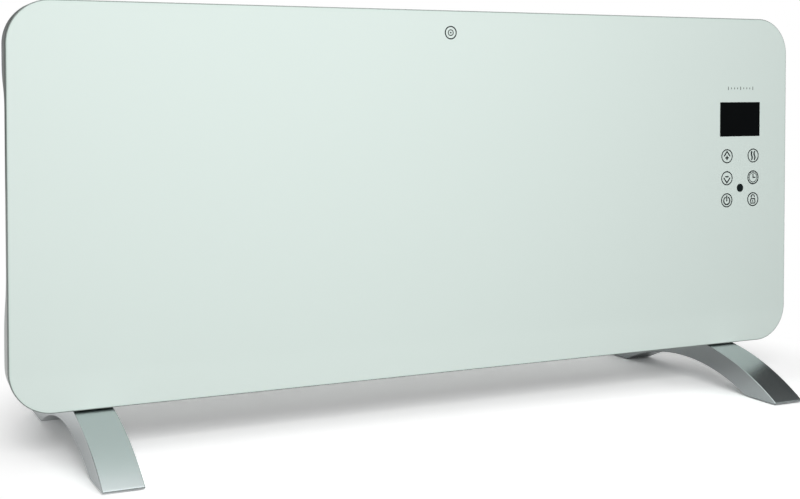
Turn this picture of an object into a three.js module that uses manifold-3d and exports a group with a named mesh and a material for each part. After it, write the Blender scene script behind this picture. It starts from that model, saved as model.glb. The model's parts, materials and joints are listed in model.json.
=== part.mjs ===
// Glass panel convector heater on two arched feet.
// Millimetres. +X is the heater's right as seen from the front, the glass faces -Y, +Z is up.
// The origin is on the floor, midway between the glass sides and midway through the heater's depth.

import * as THREE from 'three';
import { mergeVertices } from 'three/addons/utils/BufferGeometryUtils.js';
import Module from 'manifold-3d';

// ---------------------------------------------------------------- driving dimensions

// Glass front
const glassWidth = 800;
const glassHeight = 336;
const glassThickness = 5;
const glassCornerRadius = 36;
const glassEdgeBevel = 0.7;
const glassFloorClearance = 42;
const bodyDepth = 89;

// Fits between pieces
const seatGap = 0.3;
const slidingGap = 0.5;
const holeClearance = 0.4;

// Moulded frame that carries the glass
const frameSideInset = 0.3;
const frameBottomRaise = 2.4;
const frameWall = 2.5;
const frameFlangeThickness = 2;
const frameFlangeWidth = 23;
const frameSkirtDepth = 16;
const gripSkirtDepth = 4.5;
const gripCentreHeight = 183;
const gripLength = 128;
const gripLowerTaper = 60;
const gripUpperTaper = 39;

// Sheet steel
const sheetThickness = 1.2;
const shieldThickness = 1;
const shieldPanDepth = 9;
const shieldPanInset = 27;

// Rear casing
const casingSideInset = 28;
const casingTopInset = 22;
const casingCornerRadius = 14;
const casingEdgeRadius = 7;

// Pressed air louvres in the back of the casing
const louvreLength = 66;
const louvreHeight = 9;
const louvreRise = 4.5;
const louvrePitchX = 78;
const louvrePitchZ = 17;
const louvreColumns = 7;
const louvreRows = 3;
const louvreFirstHeight = 76;
const louvreShiftX = 20;

// Air slots in the floor of the casing
const floorSlotLength = 44;
const floorSlotWidth = 7;
const floorSlotPitch = 21;
const floorSlotCount = 22;
const floorSlotShiftX = 52;

// Outlet grille in the top of the casing
const outletEndInset = 80;
const outletWidth = 52;
const outletRim = 4;
const outletRimThickness = 2;
const outletBodyDepth = 13;
const outletWall = 2;
const bladeCount = 5;
const bladeThickness = 1.6;
const bladeChord = 13;
const bladeTilt = 32;
const outletRibCount = 7;
const outletRibThickness = 2;

// Heating element
const elementLeftInset = 78;
const elementRightInset = 202;
const elementHeight = 104;
const elementCoreRadius = 9;
const elementArmLength = 30;
const elementArmThickness = 3;
const elementFinLength = 9;
const elementFinThickness = 1.6;
const elementFinsPerArm = 3;
const terminalPinRadius = 4;
const terminalPinLength = 44;
const terminalPinInsertion = 20;

// Element brackets and ceramic bushes
const bracketThickness = 1.5;
const bracketHeight = 64;
const bracketFlange = 16;
const bushCollarRadius = 11;
const bushCollarThickness = 3;
const bushWall = 3.5;
const bushLength = 14;

// Controls behind the glass
const controlInsetX = 60.5;
const keyColumnOffset = 17.1;
const keyRowPitch = 22.8;
const keyTopRowHeight = 193.9;
const displayWidth = 51.4;
const displayHeight = 34.8;
const displayToKeys = 20.4;
const controlBoardWidth = 54;
const boardBelowKeys = 32.3;
const boardAboveDisplay = 4.9;
const boardThickness = 1.6;
const boardStandOff = 4.6;
const receiverRadius = 3.6;
const receiverLift = 0.6;
const touchSpringRadius = 4;
const touchSpringWire = 0.8;
const touchSpringTurns = 2.5;
const linkWidth = 16;
const linkThickness = 3;
const linkRise = 10;

// Power electronics
const boxWidth = 96;
const boxWall = 2;
const boxInsetX = 84;
const boxAboveLink = 16;
const boxAboveFloor = 17.6;
const boxDepth = 44;
const powerBoardStandOff = 4;
const boxPostRadius = 3;
const leadStub = 0.5;
const capacitorRadius = 6;
const capacitorHeight = 18;
const capacitorInsetX = 22;
const capacitorInsetZ = 24;
const sinkThickness = 3;
const sinkHeight = 20;
const sinkInsetX = 22;
const sinkInsetZ = 40;
const chokeWidth = 16;
const chokeLength = 14;
const chokeHeight = 12;
const chokeInsetX = 14;
const chokeInsetZ = 18;
const relayWidth = 15;
const relayLength = 19;
const relayHeight = 16;
const relayInsetZ = 20;
const coreWidth = 20;
const coreLength = 22;
const coreStandOff = 2;
const bobbinWidth = 24;
const bobbinLength = 12;
const bobbinHeight = 20;
const coreInsetZ = 58;

// Mains rocker switch in the back of the casing
const switchInsetX = 64;
const switchHeight = 128;
const switchCutWidth = 22;
const switchCutHeight = 30;
const switchBezelRim = 1.6;
const switchBezelThickness = 2.2;
const switchWall = 1.4;
const switchBodyDepth = 12;
const rockerSideGap = 0.4;
const rockerEndGap = 1.3;
const rockerTipRise = 7.2;
const rockerWaistRise = 5.4;
const rockerPivotDepth = 3;
const rockerPinRadius = 1.4;
const rockerTravel = 20;

// Mains inlet
const inletInsetX = 64;
const inletHeight = 80;
const inletBoreRadius = 4;
const inletWall = 2.2;
const inletCollar = 2.4;
const inletCollarThickness = 3;
const inletTailLength = 9;

// Arched feet
const footLength = 287;
const footWidth = 33;
const footCrownHeight = 44.5;
const footTipHeight = 1.6;
const footToeLength = 43.5;
const footArchRise = 22;
const footEdgeBevel = 0.7;
const leftFootInset = 68.5;
const rightFootInset = 82;
const seatFrontY = -20;
const seatBackY = 40;
const seatSideInset = 2.5;
const footScrewSpacing = 36;
const footScrewRadius = 2.5;
const footScrewHeadRadius = 4.6;
const footScrewHeadHeight = 3.4;
const footMetalOverHead = 9;
const nutPlateThickness = 3;
const nutPlateMargin = 6;

// Rubber pads under the toes
const padLength = 28;
const padWidth = 22;
const padThickness = 3;
const padProud = 1;
const padToeInset = 6;

// Casing screws
const screwRadius = 1.7;
const screwHeadRadius = 3.6;
const screwHeadHeight = 2.2;
const screwTopEndInset = 85;
const screwSideLowerHeight = 62;
const screwSideUpperDrop = 50;

// Wall hanging keyholes in the back of the casing
const keyholeInsetX = 150;
const keyholeHeight = 268;
const keyholeHeadRadius = 5.5;
const keyholeShankRadius = 2.6;
const keyholeSlot = 12;

// ---------------------------------------------------------------- places worked out from them

const glassFrontY = -bodyDepth / 2;
const glassBackY = glassFrontY + glassThickness;
const casingBackY = bodyDepth / 2;
const glassBottomZ = glassFloorClearance;
const glassTopZ = glassBottomZ + glassHeight;
const glassHalfWidth = glassWidth / 2;

const frameHalfWidth = glassHalfWidth - frameSideInset;
const frameBottomZ = glassBottomZ + frameBottomRaise;
const frameTopZ = glassTopZ - frameSideInset;
const frameFlangeBackY = glassBackY + frameFlangeThickness;
const frameBackY = glassBackY + frameSkirtDepth;
const frameRadius = glassCornerRadius - frameSideInset;

const lipHalfWidth = frameHalfWidth - frameWall - slidingGap;
const lipTopZ = frameTopZ - frameWall - slidingGap;
const casingBottomZ = frameBottomZ + frameWall + seatGap;
const lipRadius = frameRadius - frameWall - slidingGap;

const shieldFrontY = frameFlangeBackY + seatGap;
const shieldFlangeBackY = shieldFrontY + shieldThickness;
const shieldBackY = shieldFrontY + shieldPanDepth;
const lipFrontY = shieldFlangeBackY + seatGap;
const lipBackY = lipFrontY + sheetThickness;

const casingHalfWidth = glassHalfWidth - casingSideInset;
const casingTopZ = glassTopZ - casingTopInset;
const casingInnerBackY = casingBackY - sheetThickness;
const casingFloorZ = casingBottomZ + sheetThickness;
const insideMiddleY = (shieldBackY + casingInnerBackY) / 2;

const outletLength = glassWidth - 2 * outletEndInset;
const elementLength = glassWidth - elementLeftInset - elementRightInset;
const elementCentreX = (elementLeftInset - elementRightInset) / 2;
const louvreCentreX = elementCentreX + louvreShiftX;
const floorSlotCentreX = elementCentreX + floorSlotShiftX;

const controlX = glassHalfWidth - controlInsetX;
const displayCentreHeight = keyTopRowHeight + displayToKeys + displayHeight / 2;
const controlBoardTop = displayCentreHeight + displayHeight / 2 + boardAboveDisplay;
const controlBoardBottom = keyTopRowHeight - 2 * keyRowPitch - boardBelowKeys;
const receiverHeight = keyTopRowHeight - 1.5 * keyRowPitch + receiverLift;
const linkZ = glassBottomZ + controlBoardBottom + linkRise;
const boxBottomZ = casingFloorZ + boxAboveFloor;
const boxTopZ = linkZ + boxAboveLink;
const boardFrontY = glassBackY + boardStandOff;
const boardBackY = boardFrontY + boardThickness;

const boxCentreX = glassHalfWidth - boxInsetX;
const switchX = glassHalfWidth - switchInsetX;
const inletX = glassHalfWidth - inletInsetX;
const keyholeX = glassHalfWidth - keyholeInsetX;
const screwTopOuterX = glassHalfWidth - screwTopEndInset;
const leftFootX = leftFootInset - glassHalfWidth;
const rightFootX = glassHalfWidth - rightFootInset;

const seatTopZ = casingBottomZ - seatGap;
const toeZ = padProud;

const cornerSteps = 8;
const hiddenCornerSteps = 4;
const roundSteps = 10;
const footArcSteps = 16;
const reliefSteps = 8;

// ---------------------------------------------------------------- solids from three.js shapes

const wasm = await Module();
wasm.setup();

const shapeToYZ = new THREE.Matrix4().makeBasis(
  new THREE.Vector3(0, 1, 0),
  new THREE.Vector3(0, 0, 1),
  new THREE.Vector3(1, 0, 0),
);

function toSolid(geometry) {
  const bare = new THREE.BufferGeometry();
  bare.setAttribute('position', geometry.getAttribute('position').clone());
  if (geometry.index) {
    bare.setIndex(geometry.index.clone());
  }
  const welded = mergeVertices(bare, 1e-4);
  const corners = welded.index.array;
  const triangles = [];
  for (let i = 0; i < corners.length; i += 3) {
    const [a, b, c] = [corners[i], corners[i + 1], corners[i + 2]];
    if (a !== b && b !== c && c !== a) {
      triangles.push(a, b, c);
    }
  }
  return new wasm.Manifold(new wasm.Mesh({
    numProp: 3,
    vertProperties: new Float32Array(welded.getAttribute('position').array),
    triVerts: new Uint32Array(triangles),
  }));
}

function toGeometry(solid) {
  const mesh = solid.getMesh();
  const geometry = new THREE.BufferGeometry();
  geometry.setAttribute('position', new THREE.BufferAttribute(mesh.vertProperties, 3));
  geometry.setIndex(new THREE.BufferAttribute(mesh.triVerts, 1));
  return geometry;
}

function joined(solids) {
  return solids.reduce((whole, next) => whole.add(next));
}

function without(solid, cuts) {
  return cuts.reduce((rest, cut) => rest.subtract(cut), solid);
}

// A box between two corners.
function block(x, y, z) {
  const geometry = new THREE.BoxGeometry(x[1] - x[0], y[1] - y[0], z[1] - z[0]);
  geometry.translate((x[0] + x[1]) / 2, (y[0] + y[1]) / 2, (z[0] + z[1]) / 2);
  return toSolid(geometry);
}

function span(centre, size) {
  return [centre - size / 2, centre + size / 2];
}

function roundedRect(left, right, bottom, top, radius) {
  const shape = new THREE.Shape();
  shape.moveTo(left + radius, bottom);
  shape.lineTo(right - radius, bottom);
  shape.absarc(right - radius, bottom + radius, radius, -Math.PI / 2, 0);
  shape.lineTo(right, top - radius);
  shape.absarc(right - radius, top - radius, radius, 0, Math.PI / 2);
  shape.lineTo(left + radius, top);
  shape.absarc(left + radius, top - radius, radius, Math.PI / 2, Math.PI);
  shape.lineTo(left, bottom + radius);
  shape.absarc(left + radius, bottom + radius, radius, Math.PI, Math.PI * 1.5);
  return shape;
}

function polygon(points) {
  return new THREE.Shape(points.map(([a, b]) => new THREE.Vector2(a, b)));
}

// A shape drawn in X and Z, with its thickness running from the front to the back.
function slab(shape, frontY, backY, edgeRadius = 0, edgeSteps = 1, steps = cornerSteps) {
  const geometry = new THREE.ExtrudeGeometry(shape, {
    depth: backY - frontY - 2 * edgeRadius,
    bevelEnabled: edgeRadius > 0,
    bevelThickness: edgeRadius,
    bevelSize: edgeRadius,
    bevelOffset: -edgeRadius,
    bevelSegments: edgeSteps,
    curveSegments: steps,
  });
  geometry.rotateX(Math.PI / 2);
  geometry.translate(0, backY - edgeRadius, 0);
  return toSolid(geometry);
}

// A shape drawn in Y and Z, with its length running along X.
function barAlongX(shape, startX, endX, steps = 1, edgeBevel = 0) {
  const geometry = new THREE.ExtrudeGeometry(shape, {
    depth: endX - startX - 2 * edgeBevel,
    bevelEnabled: edgeBevel > 0,
    bevelThickness: edgeBevel,
    bevelSize: edgeBevel,
    bevelOffset: -edgeBevel,
    bevelSegments: 1,
    curveSegments: steps,
  });
  geometry.applyMatrix4(shapeToYZ);
  geometry.translate(startX + edgeBevel, 0, 0);
  return toSolid(geometry);
}

// A shape drawn in X and Y, with its height running up Z.
function column(shape, bottomZ, topZ) {
  const geometry = new THREE.ExtrudeGeometry(shape, {
    depth: topZ - bottomZ,
    bevelEnabled: false,
    curveSegments: 2,
  });
  geometry.translate(0, 0, bottomZ);
  return toSolid(geometry);
}

// A turned part. The profile is pairs of radius and height along the axis, from axis to axis.
function turned(profile, axis, place = [0, 0, 0], steps = roundSteps) {
  const points = profile.map(([radius, height]) => new THREE.Vector2(radius, height));
  const geometry = new THREE.LatheGeometry(points, steps);
  if (axis === 'x') {
    geometry.rotateZ(-Math.PI / 2);
  }
  if (axis === 'z') {
    geometry.rotateX(Math.PI / 2);
  }
  geometry.translate(...place);
  return toSolid(geometry);
}

function rod(radius, from, to, axis, place, steps = roundSteps) {
  return turned([[0, from], [radius, from], [radius, to], [0, to]], axis, place, steps);
}

function look(color, roughness, metalness) {
  return new THREE.MeshStandardMaterial({ color, roughness, metalness });
}

const heater = new THREE.Group();

function addPiece(name, solid, material, place = [0, 0, 0], parent = heater) {
  const mesh = new THREE.Mesh(toGeometry(solid), material);
  mesh.name = name;
  mesh.position.set(...place);
  parent.add(mesh);
  return mesh;
}

// ---------------------------------------------------------------- glass and its frame

function glassPanel() {
  const outline = roundedRect(
    -glassHalfWidth, glassHalfWidth, glassBottomZ, glassTopZ, glassCornerRadius,
  );
  return slab(outline, glassFrontY, glassBackY, glassEdgeBevel);
}

function frameOutline(inset) {
  return roundedRect(
    -frameHalfWidth + inset,
    frameHalfWidth - inset,
    frameBottomZ + inset,
    frameTopZ - inset,
    frameRadius - inset,
  );
}

// The relief behind each side of the glass, where the skirt draws back to a finger grip.
function gripRelief() {
  const low = glassBottomZ + gripCentreHeight - gripLength / 2;
  const high = glassBottomZ + gripCentreHeight + gripLength / 2;
  const shallowY = glassBackY + gripSkirtDepth;
  const deepY = frameBackY + slidingGap;
  const shape = new THREE.Shape();
  shape.moveTo(deepY, low - gripLowerTaper);
  shape.bezierCurveTo(
    deepY, low - gripLowerTaper / 2, shallowY, low - gripLowerTaper / 2, shallowY, low,
  );
  shape.lineTo(shallowY, high);
  shape.bezierCurveTo(
    shallowY, high + gripUpperTaper / 2, deepY, high + gripUpperTaper / 2, deepY, high + gripUpperTaper,
  );
  return shape;
}

// Places of the screws that hold casing, shield and frame together, as X and Z.
function casingScrewPlaces() {
  const topZ = (casingTopZ + lipTopZ) / 2;
  const sideX = (casingHalfWidth + lipHalfWidth) / 2;
  const places = [];
  for (const side of [-1, 1]) {
    places.push([side * screwTopOuterX, topZ]);
    places.push([side * screwTopOuterX / 3, topZ]);
    places.push([side * sideX, glassBottomZ + screwSideLowerHeight]);
    places.push([side * sideX, glassTopZ - screwSideUpperDrop]);
  }
  return places;
}

function screwHoles(radius, frontY, backY) {
  return casingScrewPlaces().map(([x, z]) => (
    rod(radius, frontY, backY, 'y', [x, 0, z], 8)
  ));
}

function glassFrame() {
  const body = slab(frameOutline(0), glassBackY, frameBackY);
  const skirtInside = slab(frameOutline(frameWall), frameFlangeBackY, frameBackY + slidingGap);
  const window = slab(
    frameOutline(frameWall + frameFlangeWidth),
    glassBackY - slidingGap,
    frameBackY + slidingGap,
    0,
    1,
    hiddenCornerSteps,
  );
  const relief = gripRelief();
  const grips = [
    barAlongX(relief, -glassHalfWidth, -frameHalfWidth + 2 * frameWall, reliefSteps),
    barAlongX(relief, frameHalfWidth - 2 * frameWall, glassHalfWidth, reliefSteps),
  ];
  const holes = screwHoles(screwRadius + holeClearance, glassBackY - slidingGap, frameBackY);
  return without(body, [skirtInside, window, ...grips, ...holes]);
}

// ---------------------------------------------------------------- sheet-steel shield and casing

function lipOutline(inset) {
  return roundedRect(
    -lipHalfWidth + inset,
    lipHalfWidth - inset,
    casingBottomZ + inset,
    lipTopZ - inset,
    Math.max(lipRadius - inset, casingCornerRadius),
  );
}

// The slot through which the link from the display board reaches the power board.
function linkPassage(depth) {
  return block(
    span(controlX, linkWidth + 2 * slidingGap),
    depth,
    span(linkZ, linkThickness + 2 * slidingGap),
  );
}

// A shallow pressed pan: its rim lies on the frame's flange and its floor stands off the glass.
function heatShield() {
  const rim = slab(lipOutline(0), shieldFrontY, shieldFlangeBackY, 0, 1, hiddenCornerSteps);
  const pan = slab(lipOutline(shieldPanInset), shieldFrontY, shieldBackY, 0, 1, hiddenCornerSteps);
  const hollow = slab(
    lipOutline(shieldPanInset + shieldThickness),
    shieldFrontY - slidingGap,
    shieldBackY - shieldThickness,
    0,
    1,
    hiddenCornerSteps,
  );
  const holes = screwHoles(screwRadius + holeClearance, shieldFrontY - slidingGap, lipFrontY);
  const linkHole = linkPassage([shieldFrontY, shieldBackY + seatGap]);
  return without(rim.add(pan), [hollow, linkHole, ...holes]);
}

function casingShell(inset, frontY) {
  const outline = roundedRect(
    -casingHalfWidth + inset,
    casingHalfWidth - inset,
    casingBottomZ + inset,
    casingTopZ - inset,
    casingCornerRadius - inset,
  );
  const edge = casingEdgeRadius - inset;
  const whole = slab(outline, frontY - casingEdgeRadius, casingBackY - inset, edge, 2, hiddenCornerSteps);
  const front = block(
    [-glassWidth, glassWidth], [frontY - 2 * casingEdgeRadius, frontY], [0, 2 * glassTopZ],
  );
  return whole.subtract(front);
}

// One pressed louvre: a hood that rises from the back sheet and opens downwards.
function louvreHood(x, z, inset) {
  const foot = z + inset;
  const head = z + louvreHeight - inset;
  const sheetY = casingInnerBackY - inset;
  const crest = casingBackY + louvreRise - inset;
  const shape = new THREE.Shape();
  shape.moveTo(sheetY, foot - 2 * inset);
  shape.lineTo(crest, foot - 2 * inset);
  shape.quadraticCurveTo(crest, head - inset, casingInnerBackY, head);
  shape.lineTo(sheetY, head);
  const half = louvreLength / 2 - inset;
  const geometry = new THREE.ExtrudeGeometry(shape, {
    depth: 2 * half,
    bevelEnabled: false,
    curveSegments: 3,
  });
  geometry.applyMatrix4(shapeToYZ);
  geometry.translate(x - half, 0, 0);
  return toSolid(geometry);
}

function louvrePlaces() {
  const places = [];
  for (let column = 0; column < louvreColumns; column += 1) {
    for (let row = 0; row < louvreRows; row += 1) {
      const x = louvreCentreX + (column - (louvreColumns - 1) / 2) * louvrePitchX;
      places.push([x, louvreFirstHeight + row * louvrePitchZ]);
    }
  }
  return places;
}

function floorSlots() {
  const slots = [];
  for (let i = 0; i < floorSlotCount; i += 1) {
    const x = floorSlotCentreX + (i - (floorSlotCount - 1) / 2) * floorSlotPitch;
    const outline = roundedRect(
      x - floorSlotWidth / 2,
      x + floorSlotWidth / 2,
      insideMiddleY - floorSlotLength / 2,
      insideMiddleY + floorSlotLength / 2,
      floorSlotWidth / 2 - 0.01,
    );
    slots.push(column(outline, casingBottomZ - sheetThickness, casingFloorZ + sheetThickness));
  }
  return slots;
}

function keyhole(x) {
  const z = glassBottomZ + keyholeHeight;
  const through = [casingInnerBackY - sheetThickness, casingBackY + sheetThickness];
  return joined([
    rod(keyholeHeadRadius, through[0], through[1], 'y', [x, 0, z]),
    block(span(x, 2 * keyholeShankRadius), through, [z, z + keyholeSlot]),
    rod(keyholeShankRadius, through[0], through[1], 'y', [x, 0, z + keyholeSlot]),
  ]);
}

function footScrewPlaces(footX) {
  const middle = (seatFrontY + seatBackY) / 2;
  return [
    [footX, middle - footScrewSpacing / 2],
    [footX, middle + footScrewSpacing / 2],
  ];
}

function rearCasing() {
  const lip = slab(lipOutline(0), lipFrontY, lipBackY, 0, 1, hiddenCornerSteps);
  const outside = casingShell(0, lipFrontY);
  const inside = casingShell(sheetThickness, lipFrontY - slidingGap);
  const hoods = louvrePlaces().map(([x, z]) => louvreHood(x, z, 0));
  const mouths = louvrePlaces().map(([x, z]) => louvreHood(x, z, sheetThickness));
  const outlet = block(
    span(0, outletLength + 2 * holeClearance),
    span(insideMiddleY, outletWidth + 2 * holeClearance),
    [casingTopZ - 2 * sheetThickness, casingTopZ + sheetThickness],
  );
  const switchHole = block(
    span(switchX, switchCutWidth),
    [casingInnerBackY - sheetThickness, casingBackY + sheetThickness],
    span(switchHeight, switchCutHeight),
  );
  const inletHole = rod(
    inletBoreRadius + inletWall + holeClearance,
    casingInnerBackY - sheetThickness,
    casingBackY + sheetThickness,
    'y',
    [inletX, 0, inletHeight],
  );
  const footHoles = [leftFootX, rightFootX].flatMap(footScrewPlaces).map(([x, y]) => (
    rod(
      footScrewRadius + holeClearance,
      casingBottomZ - sheetThickness,
      casingFloorZ + sheetThickness,
      'z',
      [x, y, 0],
    )
  ));
  const holes = screwHoles(screwRadius + holeClearance, lipFrontY - slidingGap, lipBackY + slidingGap);
  return without(joined([outside, lip, ...hoods]), [
    inside,
    ...mouths,
    outlet,
    switchHole,
    inletHole,
    keyhole(-keyholeX),
    keyhole(keyholeX),
    ...floorSlots(),
    ...footHoles,
    ...holes,
  ]);
}

// ---------------------------------------------------------------- outlet grille

// Moulded grille: its rim rests on the casing, and long blades lean back to turn the air forwards.
function outletGrille() {
  const rimBottom = casingTopZ + seatGap;
  const rimTop = rimBottom + outletRimThickness;
  const bodyBottom = rimTop - outletBodyDepth;
  const innerLength = outletLength - 2 * outletWall;
  const innerWidth = outletWidth - 2 * outletWall;
  const rim = block(
    span(0, outletLength + 2 * outletRim),
    span(insideMiddleY, outletWidth + 2 * outletRim),
    [rimBottom, rimTop],
  );
  const body = block(span(0, outletLength), span(insideMiddleY, outletWidth), [bodyBottom, rimTop]);
  const throat = block(
    span(0, innerLength),
    span(insideMiddleY, innerWidth),
    [bodyBottom - seatGap, rimTop + seatGap],
  );
  const tilt = THREE.MathUtils.degToRad(bladeTilt);
  const leanY = Math.sin(tilt) * bladeChord / 2;
  const riseZ = Math.cos(tilt) * bladeChord / 2;
  const middleZ = rimTop - outletBodyDepth / 2;
  const blades = [];
  for (let i = 0; i < bladeCount; i += 1) {
    const y = insideMiddleY + ((i + 0.5) / bladeCount - 0.5) * innerWidth;
    const half = bladeThickness / 2;
    blades.push(barAlongX(polygon([
      [y + leanY - half, middleZ - riseZ],
      [y + leanY + half, middleZ - riseZ],
      [y - leanY + half, middleZ + riseZ],
      [y - leanY - half, middleZ + riseZ],
    ]), -outletLength / 2, outletLength / 2));
  }
  const ribs = [];
  for (let i = 1; i <= outletRibCount; i += 1) {
    const x = (i / (outletRibCount + 1) - 0.5) * innerLength;
    ribs.push(block(
      span(x, outletRibThickness), span(insideMiddleY, outletWidth), [bodyBottom, middleZ],
    ));
  }
  const inside = block(
    span(0, outletLength), span(insideMiddleY, outletWidth), [bodyBottom, rimTop],
  );
  const slats = joined([...blades, ...ribs]).intersect(inside);
  return rim.add(body).subtract(throat).add(slats);
}

// ---------------------------------------------------------------- heating element

// Extruded aluminium element: four arms in an X round a core, each with pairs of fins.
function elementProfile() {
  const arms = [];
  for (let quarter = 0; quarter < 4; quarter += 1) {
    const turn = Math.PI / 4 + quarter * Math.PI / 2;
    const bars = [[0, elementArmLength, 0, elementArmThickness]];
    for (let i = 1; i <= elementFinsPerArm; i += 1) {
      const along = elementCoreRadius + i * (elementArmLength - elementCoreRadius) / elementFinsPerArm;
      const middle = along - elementFinThickness / 2;
      bars.push([
        middle - elementFinThickness / 2, middle + elementFinThickness / 2, 0, 2 * elementFinLength,
      ]);
    }
    for (const [start, end, centre, width] of bars) {
      const geometry = new THREE.BoxGeometry(elementLength, end - start, width);
      geometry.translate(0, (start + end) / 2, centre);
      geometry.rotateX(turn);
      arms.push(toSolid(geometry));
    }
  }
  return joined(arms);
}

const elementZ = elementHeight;
const terminalBoreRadius = terminalPinRadius + seatGap;

function heatingElement() {
  const half = elementLength / 2;
  const core = rod(elementCoreRadius, -half, half, 'x', [0, 0, 0], 16);
  const bores = [-1, 1].map((side) => {
    const ends = [side * (half - terminalPinInsertion - seatGap), side * (half + seatGap)];
    return rod(terminalBoreRadius, Math.min(...ends), Math.max(...ends), 'x', [0, 0, 0]);
  });
  return without(elementProfile().add(core), bores);
}

function terminalPin() {
  const start = -terminalPinInsertion;
  const end = terminalPinLength - terminalPinInsertion;
  const waist = end - 8;
  return turned([
    [0, start],
    [terminalPinRadius, start],
    [terminalPinRadius, waist],
    [terminalPinRadius * 0.55, waist],
    [terminalPinRadius * 0.55, end],
    [0, end],
  ], 'x');
}

// Ceramic bush: a sleeve through the bracket, with a collar against the bracket's outer face.
function ceramicBush() {
  const bore = terminalPinRadius + seatGap;
  const sleeve = bore + bushWall;
  return turned([
    [bore, 0],
    [sleeve, 0],
    [sleeve, bushLength - bushCollarThickness],
    [bushCollarRadius, bushLength - bushCollarThickness],
    [bushCollarRadius, bushLength],
    [bore, bushLength],
    [bore, 0],
  ], 'x');
}

// Folded steel bracket from the shield out to the element's end, with a flange on the shield.
function elementBracket(side) {
  const plateY = [shieldBackY + seatGap, insideMiddleY + bushCollarRadius + bracketThickness];
  const halfHeight = bracketHeight / 2;
  const plate = barAlongX(polygon([
    [plateY[0], elementZ - halfHeight],
    [plateY[0] + bracketThickness * 2, elementZ - halfHeight],
    [plateY[1], elementZ - bushCollarRadius],
    [plateY[1], elementZ + bushCollarRadius],
    [plateY[0] + bracketThickness * 2, elementZ + halfHeight],
    [plateY[0], elementZ + halfHeight],
  ]), 0, bracketThickness);
  const flangeEnd = side * bracketFlange;
  const flange = block(
    [Math.min(0, flangeEnd), Math.max(bracketThickness, flangeEnd)],
    [plateY[0], plateY[0] + bracketThickness],
    span(elementZ, bracketHeight),
  );
  const hole = rod(
    terminalPinRadius + seatGap + bushWall + seatGap,
    -bracketThickness,
    2 * bracketThickness,
    'x',
    [0, insideMiddleY, elementZ],
  );
  return plate.add(flange).subtract(hole);
}

// Bimetal cut-out: a flanged disc with two blade terminals, flat against the shield.
const cutoutRadius = 8.5;
const cutoutDepth = 11;

function thermalCutout() {
  const start = shieldBackY + seatGap;
  const centre = [elementCentreX, 0, elementZ + bracketHeight];
  const disc = rod(cutoutRadius, start, start + cutoutDepth, 'y', centre, 16);
  const ear = block(
    span(centre[0], 3.6 * cutoutRadius), [start, start + 1.5], span(centre[2], cutoutRadius),
  );
  const blades = [-1, 1].map((side) => block(
    span(centre[0] + side * cutoutRadius / 2, 0.8),
    [start + cutoutDepth - 1, start + cutoutDepth + 8],
    span(centre[2], 6.3),
  ));
  return joined([disc, ear, ...blades]);
}

// ---------------------------------------------------------------- controls behind the glass

const contactFrontY = glassBackY + seatGap;
const contactBackY = boardFrontY - seatGap;

function displayModule() {
  return block(
    span(controlX, displayWidth),
    [contactFrontY, contactBackY],
    span(glassBottomZ + displayCentreHeight, displayHeight),
  );
}

function displayBoard() {
  return block(
    span(controlX, controlBoardWidth),
    [boardFrontY, boardBackY],
    [glassBottomZ + controlBoardBottom, glassBottomZ + controlBoardTop],
  );
}

// Moulded carrier: an open frame that holds the board off the floor of the shield.
function boardCarrier() {
  const depth = [boardBackY + seatGap, shieldBackY - shieldThickness - seatGap];
  const tall = [glassBottomZ + controlBoardBottom, glassBottomZ + controlBoardTop];
  const rail = 5;
  const whole = block(span(controlX, controlBoardWidth), depth, tall);
  const middle = (tall[0] + tall[1]) / 2;
  const through = [depth[0] - seatGap, depth[1] + seatGap];
  const lower = block(
    span(controlX, controlBoardWidth - 2 * rail), through, [tall[0] + rail, middle - rail / 2],
  );
  const upper = block(
    span(controlX, controlBoardWidth - 2 * rail), through, [middle + rail / 2, tall[1] - rail],
  );
  return without(whole, [lower, upper]);
}

class SpringCurve extends THREE.Curve {
  getPoint(share, target = new THREE.Vector3()) {
    const angle = share * touchSpringTurns * 2 * Math.PI;
    const low = contactFrontY + touchSpringWire / 2;
    const high = contactBackY - touchSpringWire / 2;
    return target.set(
      touchSpringRadius * Math.cos(angle),
      low + share * (high - low),
      touchSpringRadius * Math.sin(angle),
    );
  }
}

function wireAlong(curve, radius, sides, steps) {
  const section = new THREE.Shape();
  for (let i = 0; i < sides; i += 1) {
    const angle = (i / sides) * 2 * Math.PI;
    const corner = [radius * Math.cos(angle), radius * Math.sin(angle)];
    if (i === 0) {
      section.moveTo(...corner);
    } else {
      section.lineTo(...corner);
    }
  }
  return toSolid(new THREE.ExtrudeGeometry(section, { steps, extrudePath: curve }));
}

function touchSpring() {
  const stepsPerTurn = 6;
  return wireAlong(new SpringCurve(), touchSpringWire / 2, 4, Math.round(touchSpringTurns * stepsPerTurn));
}

function infraredReceiver() {
  return rod(receiverRadius, contactFrontY, contactBackY, 'y', [
    controlX, 0, glassBottomZ + receiverHeight,
  ]);
}

// ---------------------------------------------------------------- power electronics

const boxFrontY = shieldBackY + seatGap;
const boxBackY = boxFrontY + boxDepth;
const boxX = span(boxCentreX, boxWidth);
const boxZ = [boxBottomZ, boxTopZ];
const powerBoardFrontY = boxFrontY + boxWall + powerBoardStandOff;

function inwards([low, high], distance) {
  return [low + distance, high - distance];
}

// Moulded tray on the back of the shield, with four posts for the board.
function controlBox() {
  const outside = block(boxX, [boxFrontY, boxBackY], boxZ);
  const inside = block(
    inwards(boxX, boxWall), [boxFrontY + boxWall, boxBackY + seatGap], inwards(boxZ, boxWall),
  );
  const posts = [];
  for (const x of inwards(boxX, 3 * boxPostRadius)) {
    for (const z of inwards(boxZ, 3 * boxPostRadius)) {
      const post = [boxFrontY + boxWall / 2, powerBoardFrontY - seatGap];
      posts.push(rod(boxPostRadius, post[0], post[1], 'y', [x, 0, z], 8));
    }
  }
  const linkHole = linkPassage([boxFrontY - seatGap, boxFrontY + boxWall + seatGap]);
  return without(joined([outside.subtract(inside), ...posts]), [linkHole]);
}

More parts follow.
